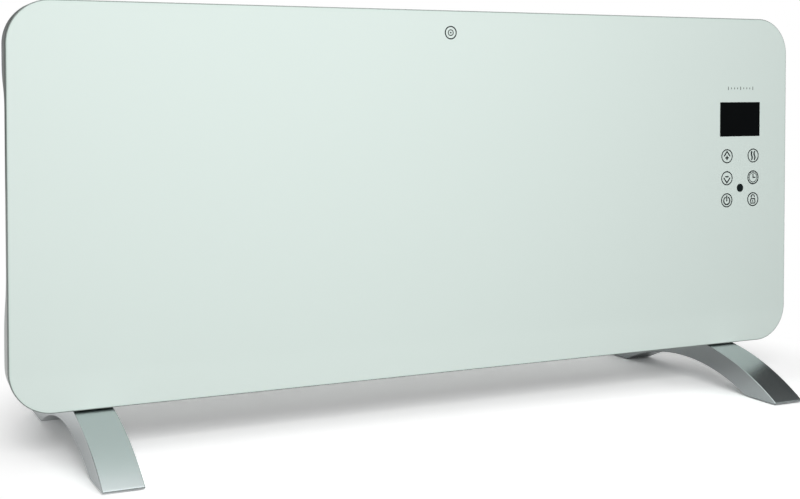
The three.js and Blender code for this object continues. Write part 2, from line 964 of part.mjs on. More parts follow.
function controlBoxCover() {
  const plate = block(boxX, [boxBackY + seatGap, boxBackY + seatGap + boxWall], boxZ);
  const rimX = inwards(boxX, boxWall + slidingGap);
  const rimZ = inwards(boxZ, boxWall + slidingGap);
  const rimY = [boxBackY - boxWall, boxBackY + seatGap + boxWall / 2];
  const rim = block(rimX, rimY, rimZ).subtract(
    block(inwards(rimX, boxWall), [rimY[0] - seatGap, rimY[1]], inwards(rimZ, boxWall)),
  );
  return plate.add(rim);
}

function powerBoard() {
  const plate = block(
    inwards(boxX, boxWall + slidingGap),
    [powerBoardFrontY, powerBoardFrontY + boardThickness],
    inwards(boxZ, boxWall + slidingGap),
  );
  const top = powerBoardFrontY + boardThickness;
  const stub = top - leadStub;
  const capacitorPlace = [boxX[0] + capacitorInsetX, 0, boxZ[1] - capacitorInsetZ];
  const capacitor = rod(capacitorRadius, stub, top + capacitorHeight, 'y', capacitorPlace, 12);
  const sink = block(
    [boxX[1] - sinkInsetX, boxX[1] - sinkInsetX + sinkThickness],
    [stub, top + sinkHeight],
    inwards(boxZ, sinkInsetZ),
  );
  const choke = block(
    [boxX[0] + chokeInsetX, boxX[0] + chokeInsetX + chokeWidth],
    [stub, top + chokeHeight],
    [boxZ[0] + chokeInsetZ, boxZ[0] + chokeInsetZ + chokeLength],
  );
  return joined([plate, capacitor, sink, choke]);
}

function powerRelay() {
  const front = powerBoardFrontY + boardThickness + seatGap;
  return block(
    span(boxCentreX, relayWidth),
    [front, front + relayHeight],
    [boxZ[0] + relayInsetZ, boxZ[0] + relayInsetZ + relayLength],
  );
}

function powerTransformer() {
  const front = powerBoardFrontY + boardThickness + seatGap;
  const coreZ = [boxZ[0] + coreInsetZ, boxZ[0] + coreInsetZ + coreLength];
  const core = block(
    span(boxCentreX, coreWidth), inwards([front, front + bobbinHeight], coreStandOff), coreZ,
  );
  const bobbin = block(
    span(boxCentreX, bobbinWidth),
    [front, front + bobbinHeight],
    span((coreZ[0] + coreZ[1]) / 2, bobbinLength),
  );
  return core.add(bobbin);
}

// Short link between the two boards, through the shield and the floor of the box.
function boardLink() {
  return block(
    span(controlX, linkWidth),
    [boardBackY + seatGap, powerBoardFrontY - seatGap],
    span(linkZ, linkThickness),
  );
}

// Three-way terminal block on the cover of the box.
const terminalBlockWays = 3;
const terminalWayWidth = 10;
const terminalBlockHeight = 18;
const terminalBlockDepth = 11;
const terminalBlockX = boxX[0] + 8;
const terminalBlockZ = boxBottomZ + 10;

function terminalBlock() {
  const front = boxBackY + boxWall + 2 * seatGap;
  const end = terminalBlockX + terminalBlockWays * terminalWayWidth;
  const base = block(
    [terminalBlockX, end], [front, front + terminalBlockDepth],
    [terminalBlockZ, terminalBlockZ + terminalBlockHeight],
  );
  const wells = [];
  for (let way = 0; way < terminalBlockWays; way += 1) {
    const x = terminalBlockX + (way + 0.5) * terminalWayWidth;
    wells.push(rod(
      2.6, front + terminalBlockDepth - 4, front + terminalBlockDepth + 1, 'y',
      [x, 0, terminalBlockZ + terminalBlockHeight / 2], 10,
    ));
  }
  return without(base, wells);
}

// Tip-over switch: a sealed case with two fixing ears, standing on the casing's floor.
const tiltSwitchInsetX = 156;
const tiltSwitchX = glassHalfWidth - tiltSwitchInsetX;
const tiltSwitchWidth = 20;
const tiltSwitchDepth = 16;
const tiltSwitchHeight = 26;
const tiltSwitchEar = 5;

function tiltSwitch() {
  const floor = casingFloorZ + seatGap;
  const body = block(
    span(tiltSwitchX, tiltSwitchWidth), span(insideMiddleY, tiltSwitchDepth),
    [floor, floor + tiltSwitchHeight],
  );
  const ears = block(
    span(tiltSwitchX, tiltSwitchWidth), span(insideMiddleY, tiltSwitchDepth + 2 * tiltSwitchEar),
    [floor, floor + boxWall],
  );
  return body.add(ears);
}

// ---------------------------------------------------------------- mains rocker switch and inlet

const bezelFrontY = casingBackY + seatGap;
const bezelFaceY = bezelFrontY + switchBezelThickness;
const switchBodyWidth = switchCutWidth - 2 * holeClearance;
const switchBodyHeight = switchCutHeight - 2 * holeClearance;
const rockerWellWidth = switchBodyWidth - 2 * switchWall;
const rockerWellHeight = switchBodyHeight - 2 * switchWall;
const rockerPivotY = bezelFaceY - rockerPivotDepth;

function centredRect(x, z, width, height, radius) {
  return roundedRect(x - width / 2, x + width / 2, z - height / 2, z + height / 2, radius);
}

function switchHousing() {
  const bezel = slab(
    centredRect(
      switchX, switchHeight,
      switchCutWidth + 2 * switchBezelRim, switchCutHeight + 2 * switchBezelRim, switchBezelRim,
    ),
    bezelFrontY,
    bezelFaceY,
    switchBezelThickness / 4,
    1,
    2,
  );
  const backY = casingInnerBackY - switchBodyDepth;
  const body = block(
    span(switchX, switchBodyWidth), [backY, bezelFaceY - switchBezelThickness / 2],
    span(switchHeight, switchBodyHeight),
  );
  const well = block(
    span(switchX, rockerWellWidth), [backY + switchWall, bezelFaceY + seatGap],
    span(switchHeight, rockerWellHeight),
  );
  const pinHole = rod(
    rockerPinRadius + seatGap, -switchBodyWidth / 2 - seatGap, switchBodyWidth / 2 + seatGap,
    'x', [switchX, rockerPivotY, switchHeight],
  );
  const tabs = [-1, 1].map((side) => block(
    span(switchX, 6.3), [backY - 8, backY + switchWall / 2],
    span(switchHeight + side * rockerWellHeight / 3, 0.8),
  ));
  return joined([without(bezel.add(body), [well, pinHole]), ...tabs]);
}

// The rocker is drawn level about its pin, then set down on its lower end.
function rockerButton() {
  const width = rockerWellWidth - 2 * rockerSideGap;
  const reach = rockerWellHeight / 2 - rockerEndGap;
  const tip = reach - 0.4;
  const profile = polygon([
    [-rockerPinRadius, -reach * 0.7],
    [0.4, -reach],
    [rockerTipRise, -tip],
    [(rockerTipRise + rockerWaistRise) / 2 - 0.35, -tip / 2],
    [rockerWaistRise, 0],
    [(rockerTipRise + rockerWaistRise) / 2 - 0.35, tip / 2],
    [rockerTipRise, tip],
    [0.4, reach],
    [-rockerPinRadius, reach * 0.7],
    [-2 * rockerPinRadius, 0],
  ].reverse());
  const geometry = new THREE.ExtrudeGeometry(profile, { depth: width, bevelEnabled: false });
  geometry.applyMatrix4(shapeToYZ);
  geometry.translate(-width / 2, 0, 0);
  const pinHalf = switchBodyWidth / 2 - seatGap;
  return toSolid(geometry).add(rod(rockerPinRadius, -pinHalf, pinHalf, 'x', [0, 0, 0]));
}

// Flanged bush that lines the hole where the mains lead would enter.
function inletBush() {
  const bore = inletBoreRadius;
  const sleeve = bore + inletWall;
  const collarFront = casingBackY + seatGap;
  const collarBack = collarFront + inletCollarThickness;
  return turned([
    [bore, casingInnerBackY - inletTailLength],
    [sleeve, casingInnerBackY - inletTailLength],
    [sleeve, collarFront],
    [sleeve + inletCollar, collarFront],
    [sleeve + inletCollar, collarBack - 1],
    [sleeve + inletCollar - 1, collarBack],
    [bore, collarBack],
    [bore, casingInnerBackY - inletTailLength],
  ], 'y', [inletX, 0, inletHeight], 12);
}

// ---------------------------------------------------------------- arched feet

const footHalf = footLength / 2;
const seatMiddleY = (seatFrontY + seatBackY) / 2;
const headTopZ = seatTopZ - footMetalOverHead;

function arcThrough(halfChord, rise) {
  const radius = (halfChord * halfChord + rise * rise) / (2 * rise);
  return { radius, halfAngle: Math.asin(halfChord / radius) };
}

function footProfile() {
  const tipZ = toeZ + footTipHeight;
  const outer = arcThrough(footHalf, footCrownHeight - tipZ);
  const innerHalf = footHalf - footToeLength;
  const inner = arcThrough(innerHalf, footArchRise);
  const shape = new THREE.Shape();
  const quarter = Math.PI / 2;
  shape.moveTo(-footHalf, toeZ);
  shape.lineTo(-innerHalf, toeZ);
  shape.absarc(
    0, toeZ + footArchRise - inner.radius, inner.radius,
    quarter + inner.halfAngle, quarter - inner.halfAngle, true,
  );
  shape.lineTo(footHalf, toeZ);
  shape.lineTo(footHalf, tipZ);
  shape.absarc(
    0, footCrownHeight - outer.radius, outer.radius,
    quarter - outer.halfAngle, quarter + outer.halfAngle, false,
  );
  return shape;
}

function padPlaces() {
  const middle = footHalf - padToeInset - padLength / 2;
  return [['front', -middle], ['back', middle]];
}

function archedFoot() {
  const arch = barAlongX(footProfile(), -footWidth / 2, footWidth / 2, footArcSteps, footEdgeBevel);
  const seat = block(
    span(0, footWidth - 2 * seatSideInset),
    [seatFrontY, seatBackY],
    [toeZ + footArchRise + footMetalOverHead, seatTopZ],
  );
  const wells = footScrewPlaces(0).flatMap(([x, y]) => [
    rod(footScrewHeadRadius + slidingGap, -1, headTopZ, 'z', [x, y, 0]),
    rod(footScrewRadius + holeClearance, 0, seatTopZ + 1, 'z', [x, y, 0]),
  ]);
  const recesses = padPlaces().map(([, y]) => block(
    span(0, padWidth + 2 * seatGap),
    span(y, padLength + 2 * seatGap),
    [-1, padThickness + seatGap],
  ));
  return without(arch.add(seat), [...wells, ...recesses]);
}

function footPad() {
  const outline = roundedRect(-padWidth / 2, padWidth / 2, -padLength / 2, padLength / 2, 4);
  return column(outline, 0, padThickness);
}

function footScrew() {
  const headTop = headTopZ - seatGap;
  const end = casingFloorZ + seatGap + nutPlateThickness + 1;
  return turned([
    [0, headTop - footScrewHeadHeight],
    [footScrewHeadRadius * 0.7, headTop - footScrewHeadHeight],
    [footScrewHeadRadius, headTop - footScrewHeadHeight / 2],
    [footScrewHeadRadius, headTop],
    [footScrewRadius, headTop],
    [footScrewRadius, end],
    [0, end],
  ], 'z', [0, 0, 0], 8);
}

// Tapped plate inside the casing, which the foot's two screws draw down.
function nutPlate() {
  const bottom = casingFloorZ + seatGap;
  const plate = block(
    span(0, 2 * (footScrewRadius + nutPlateMargin)),
    span(seatMiddleY, footScrewSpacing + 2 * (footScrewRadius + nutPlateMargin)),
    [bottom, bottom + nutPlateThickness],
  );
  const holes = footScrewPlaces(0).map(([x, y]) => (
    rod(footScrewRadius + seatGap, bottom - 1, bottom + nutPlateThickness + 1, 'z', [x, y, 0])
  ));
  return without(plate, holes);
}

// ---------------------------------------------------------------- casing screws and leads

function casingScrew() {
  const headFront = lipBackY + seatGap;
  return turned([
    [0, glassBackY + slidingGap],
    [screwRadius, glassBackY + slidingGap],
    [screwRadius, headFront],
    [screwHeadRadius, headFront],
    [screwHeadRadius, headFront + screwHeadHeight / 2],
    [screwHeadRadius * 0.6, headFront + screwHeadHeight],
    [0, headFront + screwHeadHeight],
  ], 'y', [0, 0, 0], 8);
}

const leadRadius = 1.6;
const leadFloorHeight = 12;
const leadFrontOffset = 27;

function leadCurve(points) {
  const places = points.map((point) => new THREE.Vector3(...point));
  return new THREE.CatmullRomCurve3(places, false, 'centripetal');
}

// Silicone-insulated leads from the element's pins to the terminal block.
function elementLead(side) {
  const pinReach = elementLength / 2 + terminalPinLength - terminalPinInsertion;
  const pinX = elementCentreX + side * (pinReach + seatGap);
  const blockY = boxBackY + boxWall + 2 * seatGap + terminalBlockDepth / 2;
  const endX = terminalBlockX - seatGap;
  const middle = terminalBlockZ + terminalBlockHeight / 2;
  if (side > 0) {
    return wireAlong(leadCurve([
      [pinX, insideMiddleY, elementZ],
      [pinX + 8, insideMiddleY, elementZ],
      [(pinX + endX) / 2, (insideMiddleY + blockY) / 2, (elementZ + middle + 4) / 2],
      [endX - 8, blockY, middle + 4],
      [endX, blockY, middle + 4],
    ]), leadRadius, 5, 10);
  }
  const floor = casingFloorZ + leadFloorHeight;
  const runY = insideMiddleY - leadFrontOffset;
  return wireAlong(leadCurve([
    [pinX, insideMiddleY, elementZ],
    [pinX - 7, insideMiddleY - 1, elementZ - 1],
    [pinX - 9, insideMiddleY - 10, elementZ - 14],
    [pinX - 3, runY + 2, floor + 14],
    [pinX + 16, runY, floor],
    [elementCentreX, runY, floor],
    [tiltSwitchX - 16, runY, floor],
    [tiltSwitchX + 12, runY + 8, floor],
    [boxX[0] - 6, insideMiddleY, floor + 2],
    [boxX[0] - 6, boxBackY + 4, middle - 14],
    [boxX[0] - 1, blockY, middle - 6],
    [endX, blockY, middle - 4],
  ]), leadRadius, 5, 32);
}

addPiece('glass_panel', glassPanel(), look(0xdbe6e2, 0.08, 0));
addPiece('glass_frame', glassFrame(), look(0x8b918e, 0.45, 0));
addPiece('heat_shield', heatShield(), look(0xb9bcbc, 0.35, 0.9));
addPiece('rear_casing', rearCasing(), look(0xd8dcd9, 0.5, 0.1));
addPiece('outlet_grille', outletGrille(), look(0x5d6365, 0.6, 0));
addPiece('heating_element', heatingElement(), look(0xc9ccce, 0.4, 0.9), [
  elementCentreX, insideMiddleY, elementZ,
]);
for (const side of [-1, 1]) {
  const end = side < 0 ? 'left' : 'right';
  const assembly = new THREE.Group();
  assembly.position.set(elementCentreX + side * elementLength / 2, insideMiddleY, elementZ);
  assembly.rotation.z = side < 0 ? Math.PI : 0;
  heater.add(assembly);
  addPiece(`terminal_pin_${end}`, terminalPin(), look(0xa9adb0, 0.3, 1), [0, 0, 0], assembly);
  addPiece(`ceramic_bush_${end}`, ceramicBush(), look(0xece7dc, 0.7, 0), [seatGap, 0, 0], assembly);
  const bracketX = elementCentreX + side * (
    elementLength / 2 + seatGap + bushLength - bushCollarThickness - seatGap - bracketThickness / 2
  );
  addPiece(
    `element_bracket_${end}`,
    elementBracket(side),
    look(0xb4b8ba, 0.4, 0.9),
    [bracketX - bracketThickness / 2, 0, 0],
  );
  addPiece(`element_lead_${end}`, elementLead(side), look(0xe6e2d8, 0.7, 0));
}
addPiece('thermal_cutout', thermalCutout(), look(0x2b2b2d, 0.5, 0.2));

addPiece('display_module', displayModule(), look(0x101314, 0.2, 0));
addPiece('display_board', displayBoard(), look(0x1f5a3a, 0.6, 0));
addPiece('board_carrier', boardCarrier(), look(0xe9e9e4, 0.6, 0));
addPiece('infrared_receiver', infraredReceiver(), look(0x151516, 0.3, 0));
for (let row = 0; row < 3; row += 1) {
  for (const side of [-1, 1]) {
    addPiece(
      `touch_spring_${row + 1}_${side < 0 ? 'left' : 'right'}`,
      touchSpring(),
      look(0xc8b98a, 0.35, 1),
      [controlX + side * keyColumnOffset, 0, glassBottomZ + keyTopRowHeight - row * keyRowPitch],
    );
  }
}
addPiece('board_link', boardLink(), look(0xd9d6cc, 0.6, 0));
addPiece('control_box', controlBox(), look(0xe3e2dc, 0.6, 0));
addPiece('control_box_cover', controlBoxCover(), look(0xe3e2dc, 0.6, 0));
addPiece('power_board', powerBoard(), look(0x2b6a45, 0.6, 0));
addPiece('power_relay', powerRelay(), look(0x1c2f57, 0.5, 0));
addPiece('power_transformer', powerTransformer(), look(0xc9a13a, 0.5, 0));
addPiece('terminal_block', terminalBlock(), look(0xefeee8, 0.5, 0));
addPiece('tilt_switch', tiltSwitch(), look(0x29292b, 0.5, 0));
addPiece('inlet_bush', inletBush(), look(0x1d1e1f, 0.5, 0));
addPiece('switch_housing', switchHousing(), look(0x17181a, 0.45, 0));
const rocker = addPiece('rocker_button', rockerButton(), look(0x202124, 0.35, 0), [
  switchX, rockerPivotY, switchHeight,
]);
rocker.rotation.x = THREE.MathUtils.degToRad(-rockerTravel / 2);

for (const [side, footX] of [['left', leftFootX], ['right', rightFootX]]) {
  const foot = new THREE.Group();
  foot.position.x = footX;
  heater.add(foot);
  addPiece(`${side}_foot`, archedFoot(), look(0xb9c3c1, 0.35, 0.8), [0, 0, 0], foot);
  addPiece(`${side}_nut_plate`, nutPlate(), look(0xa7abad, 0.4, 1), [0, 0, 0], foot);
  for (const [end, y] of padPlaces()) {
    addPiece(`${side}_${end}_pad`, footPad(), look(0x26282a, 0.9, 0), [0, y, 0], foot);
  }
  footScrewPlaces(0).forEach(([x, y], i) => {
    addPiece(`${side}_foot_screw_${i + 1}`, footScrew(), look(0x9a9ea1, 0.35, 1), [x, y, 0], foot);
  });
}
casingScrewPlaces().forEach(([x, z], i) => {
  addPiece(`casing_screw_${i + 1}`, casingScrew(), look(0x8d9194, 0.35, 1), [x, 0, z]);
});

export default heater;
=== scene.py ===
"""Looks of a glass panel heater on two arched feet. Metres, +Z up, the glass faces -Y."""

import json
import math

import bmesh
import bpy
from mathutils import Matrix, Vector


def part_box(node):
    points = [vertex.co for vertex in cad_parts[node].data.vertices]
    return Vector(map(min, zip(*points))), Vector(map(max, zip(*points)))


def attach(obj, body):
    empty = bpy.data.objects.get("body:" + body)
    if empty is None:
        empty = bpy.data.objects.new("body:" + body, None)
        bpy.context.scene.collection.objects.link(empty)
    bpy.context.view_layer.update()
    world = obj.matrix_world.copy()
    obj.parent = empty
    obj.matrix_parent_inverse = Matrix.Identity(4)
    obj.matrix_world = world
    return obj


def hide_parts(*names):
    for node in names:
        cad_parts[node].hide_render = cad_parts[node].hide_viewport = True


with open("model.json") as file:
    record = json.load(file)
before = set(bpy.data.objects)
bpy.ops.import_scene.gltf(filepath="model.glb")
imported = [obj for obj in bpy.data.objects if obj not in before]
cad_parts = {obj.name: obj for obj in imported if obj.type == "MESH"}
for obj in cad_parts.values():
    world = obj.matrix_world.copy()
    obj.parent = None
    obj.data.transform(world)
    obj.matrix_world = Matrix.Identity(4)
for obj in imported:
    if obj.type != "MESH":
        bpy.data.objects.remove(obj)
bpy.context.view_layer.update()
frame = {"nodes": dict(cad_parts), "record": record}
bpy.ops.object.select_all(action="DESELECT")
scene = bpy.context.scene
scene.view_settings.view_transform = "Standard"
MM = 0.001


# ---- Camera: it stands in front of the heater, past its left end and a little lower than its top.
# It looks nearly level, and its lens is shifted to frame the heater.
CAMERA_PLACE = (-0.5755, -1.1326, 0.3060)
CAMERA_TURN = (88.23, 0.03, -25.69)
camera = bpy.data.objects.new("camera", bpy.data.cameras.new("camera"))
scene.collection.objects.link(camera)
camera.location = CAMERA_PLACE
camera.rotation_euler = [math.radians(angle) for angle in CAMERA_TURN]
camera.data.sensor_width = 36
camera.data.lens = 59.80
camera.data.shift_y = -0.15
scene.camera = camera


# ---- Studio: a white table that ends about 0.24 m in front of the feet, in a room that is light
# in front and dim behind. What the camera sees past the object is plain white.
WHITE = (1, 1, 1, 1)


def add_node(tree, kind, inputs=(), **settings):
    """A node with its settings, and its inputs given as numbers or as other nodes' outputs."""
    node = tree.nodes.new(kind)
    for name, value in settings.items():
        setattr(node, name, value)
    for i, value in enumerate(inputs):
        if isinstance(value, bpy.types.NodeSocket):
            tree.links.new(value, node.inputs[i])
        elif value is not None:
            node.inputs[i].default_value = value
    return node


def ramp(tree, value, low, high, start=0.0, end=1.0):
    """A smooth step from start to end while the value goes from low to high."""
    inputs = (value, low, high, start, end)
    return add_node(tree, "ShaderNodeMapRange", inputs, interpolation_type="SMOOTHSTEP").outputs["Result"]


def reckon(tree, operation, first, second):
    """A sum, product or other operation on two numbers."""
    return add_node(tree, "ShaderNodeMath", (first, second), operation=operation).outputs[0]


def reckon_place(tree, operation, first, second=None):
    """An operation on places, axis by axis. LENGTH gives one number."""
    node = add_node(tree, "ShaderNodeVectorMath", (first, second), operation=operation)
    return node.outputs["Value" if operation == "LENGTH" else "Vector"]


world = bpy.data.worlds.new("studio")
scene.world = world
world.use_nodes = True
tree = world.node_tree
tree.nodes.clear()
direction = add_node(tree, "ShaderNodeTexCoord").outputs["Generated"]
parts = add_node(tree, "ShaderNodeSeparateXYZ", (direction,)).outputs
# What lights a surface: a pale front, brighter to the right, and a low pale wall to the left,
# behind the line of the glass, which lights the left ends of the frame and the casing.
front = ramp(tree, parts["Y"], 0.15, -0.35)
ambient = reckon(tree, "MULTIPLY", front, ramp(tree, parts["Z"], -0.05, 0.1, 0.08, 0.42))
ambient = reckon(tree, "ADD", ambient, 0.14)
ambient = reckon(tree, "MULTIPLY", ambient, ramp(tree, parts["X"], -0.6, 0.6, 0.35, 1.65))
wall = reckon(tree, "MULTIPLY", ramp(tree, parts["X"], 0.1, -0.6), ramp(tree, parts["Z"], 0.4, 0.15))
wall = reckon(tree, "MULTIPLY", wall, ramp(tree, parts["Y"], -0.05, 0.2, 0.0, 0.8))
ambient = reckon(tree, "ADD", ambient, wall)
# What shines back from metal and glass: a bright ceiling panel to the left, the pale front and
# the low wall. Everything else is dark.
ceiling = reckon(tree, "MULTIPLY", ramp(tree, parts["X"], 0.55, 0.15), ramp(tree, parts["Y"], 0.55, -0.05))
ceiling = reckon(tree, "MULTIPLY", ceiling, ramp(tree, parts["Z"], 0.5, 0.85, 0.0, 1.8))
banner = reckon(tree, "MULTIPLY", front, ramp(tree, parts["Z"], 0.2, 0.5, 0.05, 0.5))
mirrored = reckon(tree, "ADD", ceiling, banner)
mirrored = reckon(tree, "ADD", mirrored, reckon(tree, "MULTIPLY", wall, 0.6))
mirrored = reckon(tree, "ADD", mirrored, 0.06)
ray = add_node(tree, "ShaderNodeLightPath").outputs
lit = add_node(tree, "ShaderNodeBackground", (WHITE, ambient))
shown = add_node(tree, "ShaderNodeBackground", ((0.97, 1.0, 0.99, 1), mirrored))
backdrop = add_node(tree, "ShaderNodeBackground", (WHITE, 1.0))
inner = add_node(tree, "ShaderNodeMixShader", (ray["Is Glossy Ray"], lit.outputs[0], shown.outputs[0]))
watched = reckon(tree, "MAXIMUM", ray["Is Camera Ray"], ray["Is Transmission Ray"])
outer = add_node(tree, "ShaderNodeMixShader", (watched, inner.outputs[0], backdrop.outputs[0]))
add_node(tree, "ShaderNodeOutputWorld", (outer.outputs[0],))

TABLE_FRONT, TABLE_REACH = -0.385, 3
SHADOW_MIDDLE, SHADOW_REACH = 0.05, 0.42
table = bpy.data.meshes.new("table")
near = [(-TABLE_REACH, TABLE_FRONT, 0), (TABLE_REACH, TABLE_FRONT, 0)]
far = [(TABLE_REACH, TABLE_REACH, 0), (-TABLE_REACH, TABLE_REACH, 0)]
table.from_pydata(near + far, [], [(0, 1, 2, 3)])
floor = bpy.data.objects.new("table", table)
scene.collection.objects.link(floor)
paper = bpy.data.materials.new("white_table")
paper.use_nodes = True
tree = paper.node_tree
tree.nodes.clear()
ray = add_node(tree, "ShaderNodeLightPath").outputs
# The table sends little light up to the object, shows paler to the camera than in the metal, and
# fades to white beyond the object's shadow.
matte = add_node(tree, "ShaderNodeBsdfDiffuse", ((0.3, 0.3, 0.3, 1),))
base = add_node(tree, "ShaderNodeBsdfDiffuse", ((0.75, 0.75, 0.75, 1),))
more = add_node(tree, "ShaderNodeBsdfDiffuse", ((0.65, 0.65, 0.65, 1),))
double = add_node(tree, "ShaderNodeAddShader", (base.outputs[0], more.outputs[0]))
bright = add_node(tree, "ShaderNodeMixShader", (ray["Is Glossy Ray"], double.outputs[0], base.outputs[0]))
place = add_node(tree, "ShaderNodeTexCoord").outputs["Object"]
place = reckon_place(tree, "SUBTRACT", place, (SHADOW_MIDDLE, 0, 0))
place = reckon_place(tree, "MULTIPLY", place, (1 / SHADOW_REACH, 1 / SHADOW_REACH, 0))
fade = ramp(tree, reckon_place(tree, "LENGTH", place), 0.88, 1.2)
plain = add_node(tree, "ShaderNodeEmission", (WHITE, 1.0))
faded = add_node(tree, "ShaderNodeMixShader", (fade, bright.outputs[0], plain.outputs[0]))
watched = reckon(tree, "MAXIMUM", ray["Is Camera Ray"], ray["Is Glossy Ray"])
watched = reckon(tree, "MAXIMUM", watched, ray["Is Transmission Ray"])
seen = add_node(tree, "ShaderNodeMixShader", (watched, matte.outputs[0], faded.outputs[0]))
add_node(tree, "ShaderNodeOutputMaterial", (seen.outputs[0],))
table.materials.append(paper)


def softbox(name, place, target, size, power):
    """A soft lamp that lights the heater and is never seen or mirrored itself."""
    light = bpy.data.objects.new(name, bpy.data.lights.new(name, "AREA"))
    scene.collection.objects.link(light)
    light.data.shape = "RECTANGLE"
    light.data.size, light.data.size_y = size
    light.data.energy = power
    light.location = place
    light.rotation_euler = (Vector(target) - Vector(place)).to_track_quat("-Z", "Y").to_euler()
    light.visible_camera = False
    light.visible_glossy = False


softbox("key_light", place=(-0.22, -1.15, 0.66), target=(-0.1, 0, 0.2), size=(1.0, 0.75), power=12.5)
softbox("back_light", place=(0.3, 2.2, 0.32), target=(0, 0, 0.2), size=(2.0, 0.5), power=32)


# ---- Glass: one toughened pane with a polished bevel, enamelled pale green-white on its back.
# It is bonded to the frame behind it.
GLASS = dict(left=-0.4, right=0.4, bottom=0.042, top=0.378, radius=0.036)
GLASS_FRONT, GLASS_BACK = -0.0445, -0.0395
GLASS_BEVEL = 0.9 * MM
CLEAR_MARGIN, MARGIN_FADE = 2.6 * MM, 0.6 * MM
GRAIN_HEIGHT = 0.2 * MM


def rgb(red, green, blue):
    """A colour as it shows on a screen, 0 to 255, as the linear colour that Blender mixes."""
    shares = [value / 255 for value in (red, green, blue)]
    return [s / 12.92 if s < 0.04045 else ((s + 0.055) / 1.055) ** 2.4 for s in shares]


def only(obj):
    """Select one object and nothing else."""
    bpy.ops.object.select_all(action="DESELECT")
    obj.select_set(True)
    bpy.context.view_layer.objects.active = obj


def apply_modifiers(obj):
    bpy.context.view_layer.objects.active = obj
    for modifier in list(obj.modifiers):
        bpy.ops.object.modifier_apply(modifier=modifier.name)


def even_normals(obj):
    """Large faces keep their flat shading next to small bevels."""
    modifier = obj.modifiers.new("normals", "WEIGHTED_NORMAL")
    modifier.keep_sharp = True
    apply_modifiers(obj)


def settle():
    """The active object keeps its place in its mesh, and stands at the origin."""
    bpy.ops.object.transform_apply(location=True, rotation=True, scale=True)


def box(name, low, high):
    """A box between two opposite corners."""
    middle = [(a + b) / 2 for a, b in zip(low, high)]
    bpy.ops.mesh.primitive_cube_add(size=1, location=middle, scale=[b - a for a, b in zip(low, high)])
    settle()
    bpy.context.object.name = name
    return bpy.context.object


def pick_edges(obj, wanted):
    """Go into edit mode with the edges selected whose two ends pass the test."""
    only(obj)
    bpy.ops.object.mode_set(mode="EDIT")
    bpy.ops.mesh.select_mode(type="EDGE")
    bpy.ops.mesh.select_all(action="DESELECT")
    for edge in bmesh.from_edit_mesh(obj.data).edges:
        if wanted(*[vert.co for vert in edge.verts]):
            edge.select_set(True)
    bmesh.update_edit_mesh(obj.data)


def round_edges(obj, wanted, radius, segments=6):
    pick_edges(obj, wanted)
    bpy.ops.mesh.bevel(offset=radius, segments=segments, affect="EDGES")
    bpy.ops.object.mode_set(mode="OBJECT")


def same(axis, *values):
    """A test that both ends of an edge lie at one of the values along the axis."""
    return lambda a, b: any(abs(a[axis] - v) < 1e-5 and abs(b[axis] - v) < 1e-5 for v in values)


def along(axis):
    """A test that an edge runs along the axis."""
    others = [i for i in range(3) if i != axis]
    return lambda a, b: all(abs(a[i] - b[i]) < 1e-5 for i in others)


def finished(obj, material, body, nodes=(), angle=30):
    """Smooth a piece, give it its material and say what it stands for."""
    only(obj)
    bpy.ops.object.shade_smooth_by_angle(angle=math.radians(angle))
    even_normals(obj)
    obj.data.materials.clear()
    obj.data.materials.append(material)
    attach(obj, body)
    if nodes:
        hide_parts(*nodes)
    return obj


def surface(
    name, color, roughness, metallic=0.0,
    mottle=(6.0, 0.04), grain=(900.0, 0.05), stretch=(1, 1, 1), spread=0.06,
):
    """A procedural surface: its colour and roughness vary a little, and a fine grain lifts it.

    Mottle and grain are each a scale and a strength. Spread is how far the roughness varies.
    """
    material = bpy.data.materials.new(name)
    material.use_nodes = True
    tree = material.node_tree
    shader = tree.nodes["Principled BSDF"]
    shader.inputs["Metallic"].default_value = metallic
    place = add_node(tree, "ShaderNodeTexCoord").outputs["Object"]
    place = add_node(tree, "ShaderNodeMapping", (place, None, None, stretch)).outputs[0]
    wide = add_node(tree, "ShaderNodeTexNoise", (place, None, mottle[0], 4)).outputs["Fac"]
    fine = add_node(tree, "ShaderNodeTexNoise", (place, None, grain[0], 3)).outputs["Fac"]
    dark = (*[v * (1 - mottle[1]) for v in color], 1)
    light = (*[min(1, v * (1 + mottle[1])) for v in color], 1)
    tone = add_node(tree, "ShaderNodeMixRGB", (wide, dark, light))
    tone.name = "tone"
    tree.links.new(tone.outputs[0], shader.inputs["Base Color"])
    smoothest, roughest = max(0.0, roughness - spread), min(1.0, roughness + spread)
    gloss = add_node(tree, "ShaderNodeMapRange", (wide, 0.0, 1.0, smoothest, roughest))
    tree.links.new(gloss.outputs[0], shader.inputs["Roughness"])
    if grain[1] > 0:
        relief = add_node(tree, "ShaderNodeBump", (grain[1], GRAIN_HEIGHT))
        tree.links.new(fine, relief.inputs["Height"])
        tree.links.new(relief.outputs[0], shader.inputs["Normal"])
    return material


def under_glass(material, roughness):
    """The surface lies under clear glass: only the glass's own face reflects."""
    shader = material.node_tree.nodes["Principled BSDF"]
    shader.inputs["Specular IOR Level"].default_value = 0.0
    shader.inputs["Coat Weight"].default_value = 0.35
    shader.inputs["Coat Roughness"].default_value = roughness
    shader.inputs["Coat IOR"].default_value = 1.5
    return material


glass = box(
    "glass_pane",
    (GLASS["left"], GLASS_FRONT, GLASS["bottom"]),
    (GLASS["right"], GLASS_BACK, GLASS["top"]),
)
round_edges(glass, along(1), GLASS["radius"], 24)
round_edges(glass, same(1, GLASS_FRONT, GLASS_BACK), GLASS_BEVEL, 4)
enamel = surface("glass_enamel", rgb(213, 225, 220), 0.32, mottle=(2.5, 0.006), grain=(40.0, 0.0))
under_glass(enamel, 0.02)
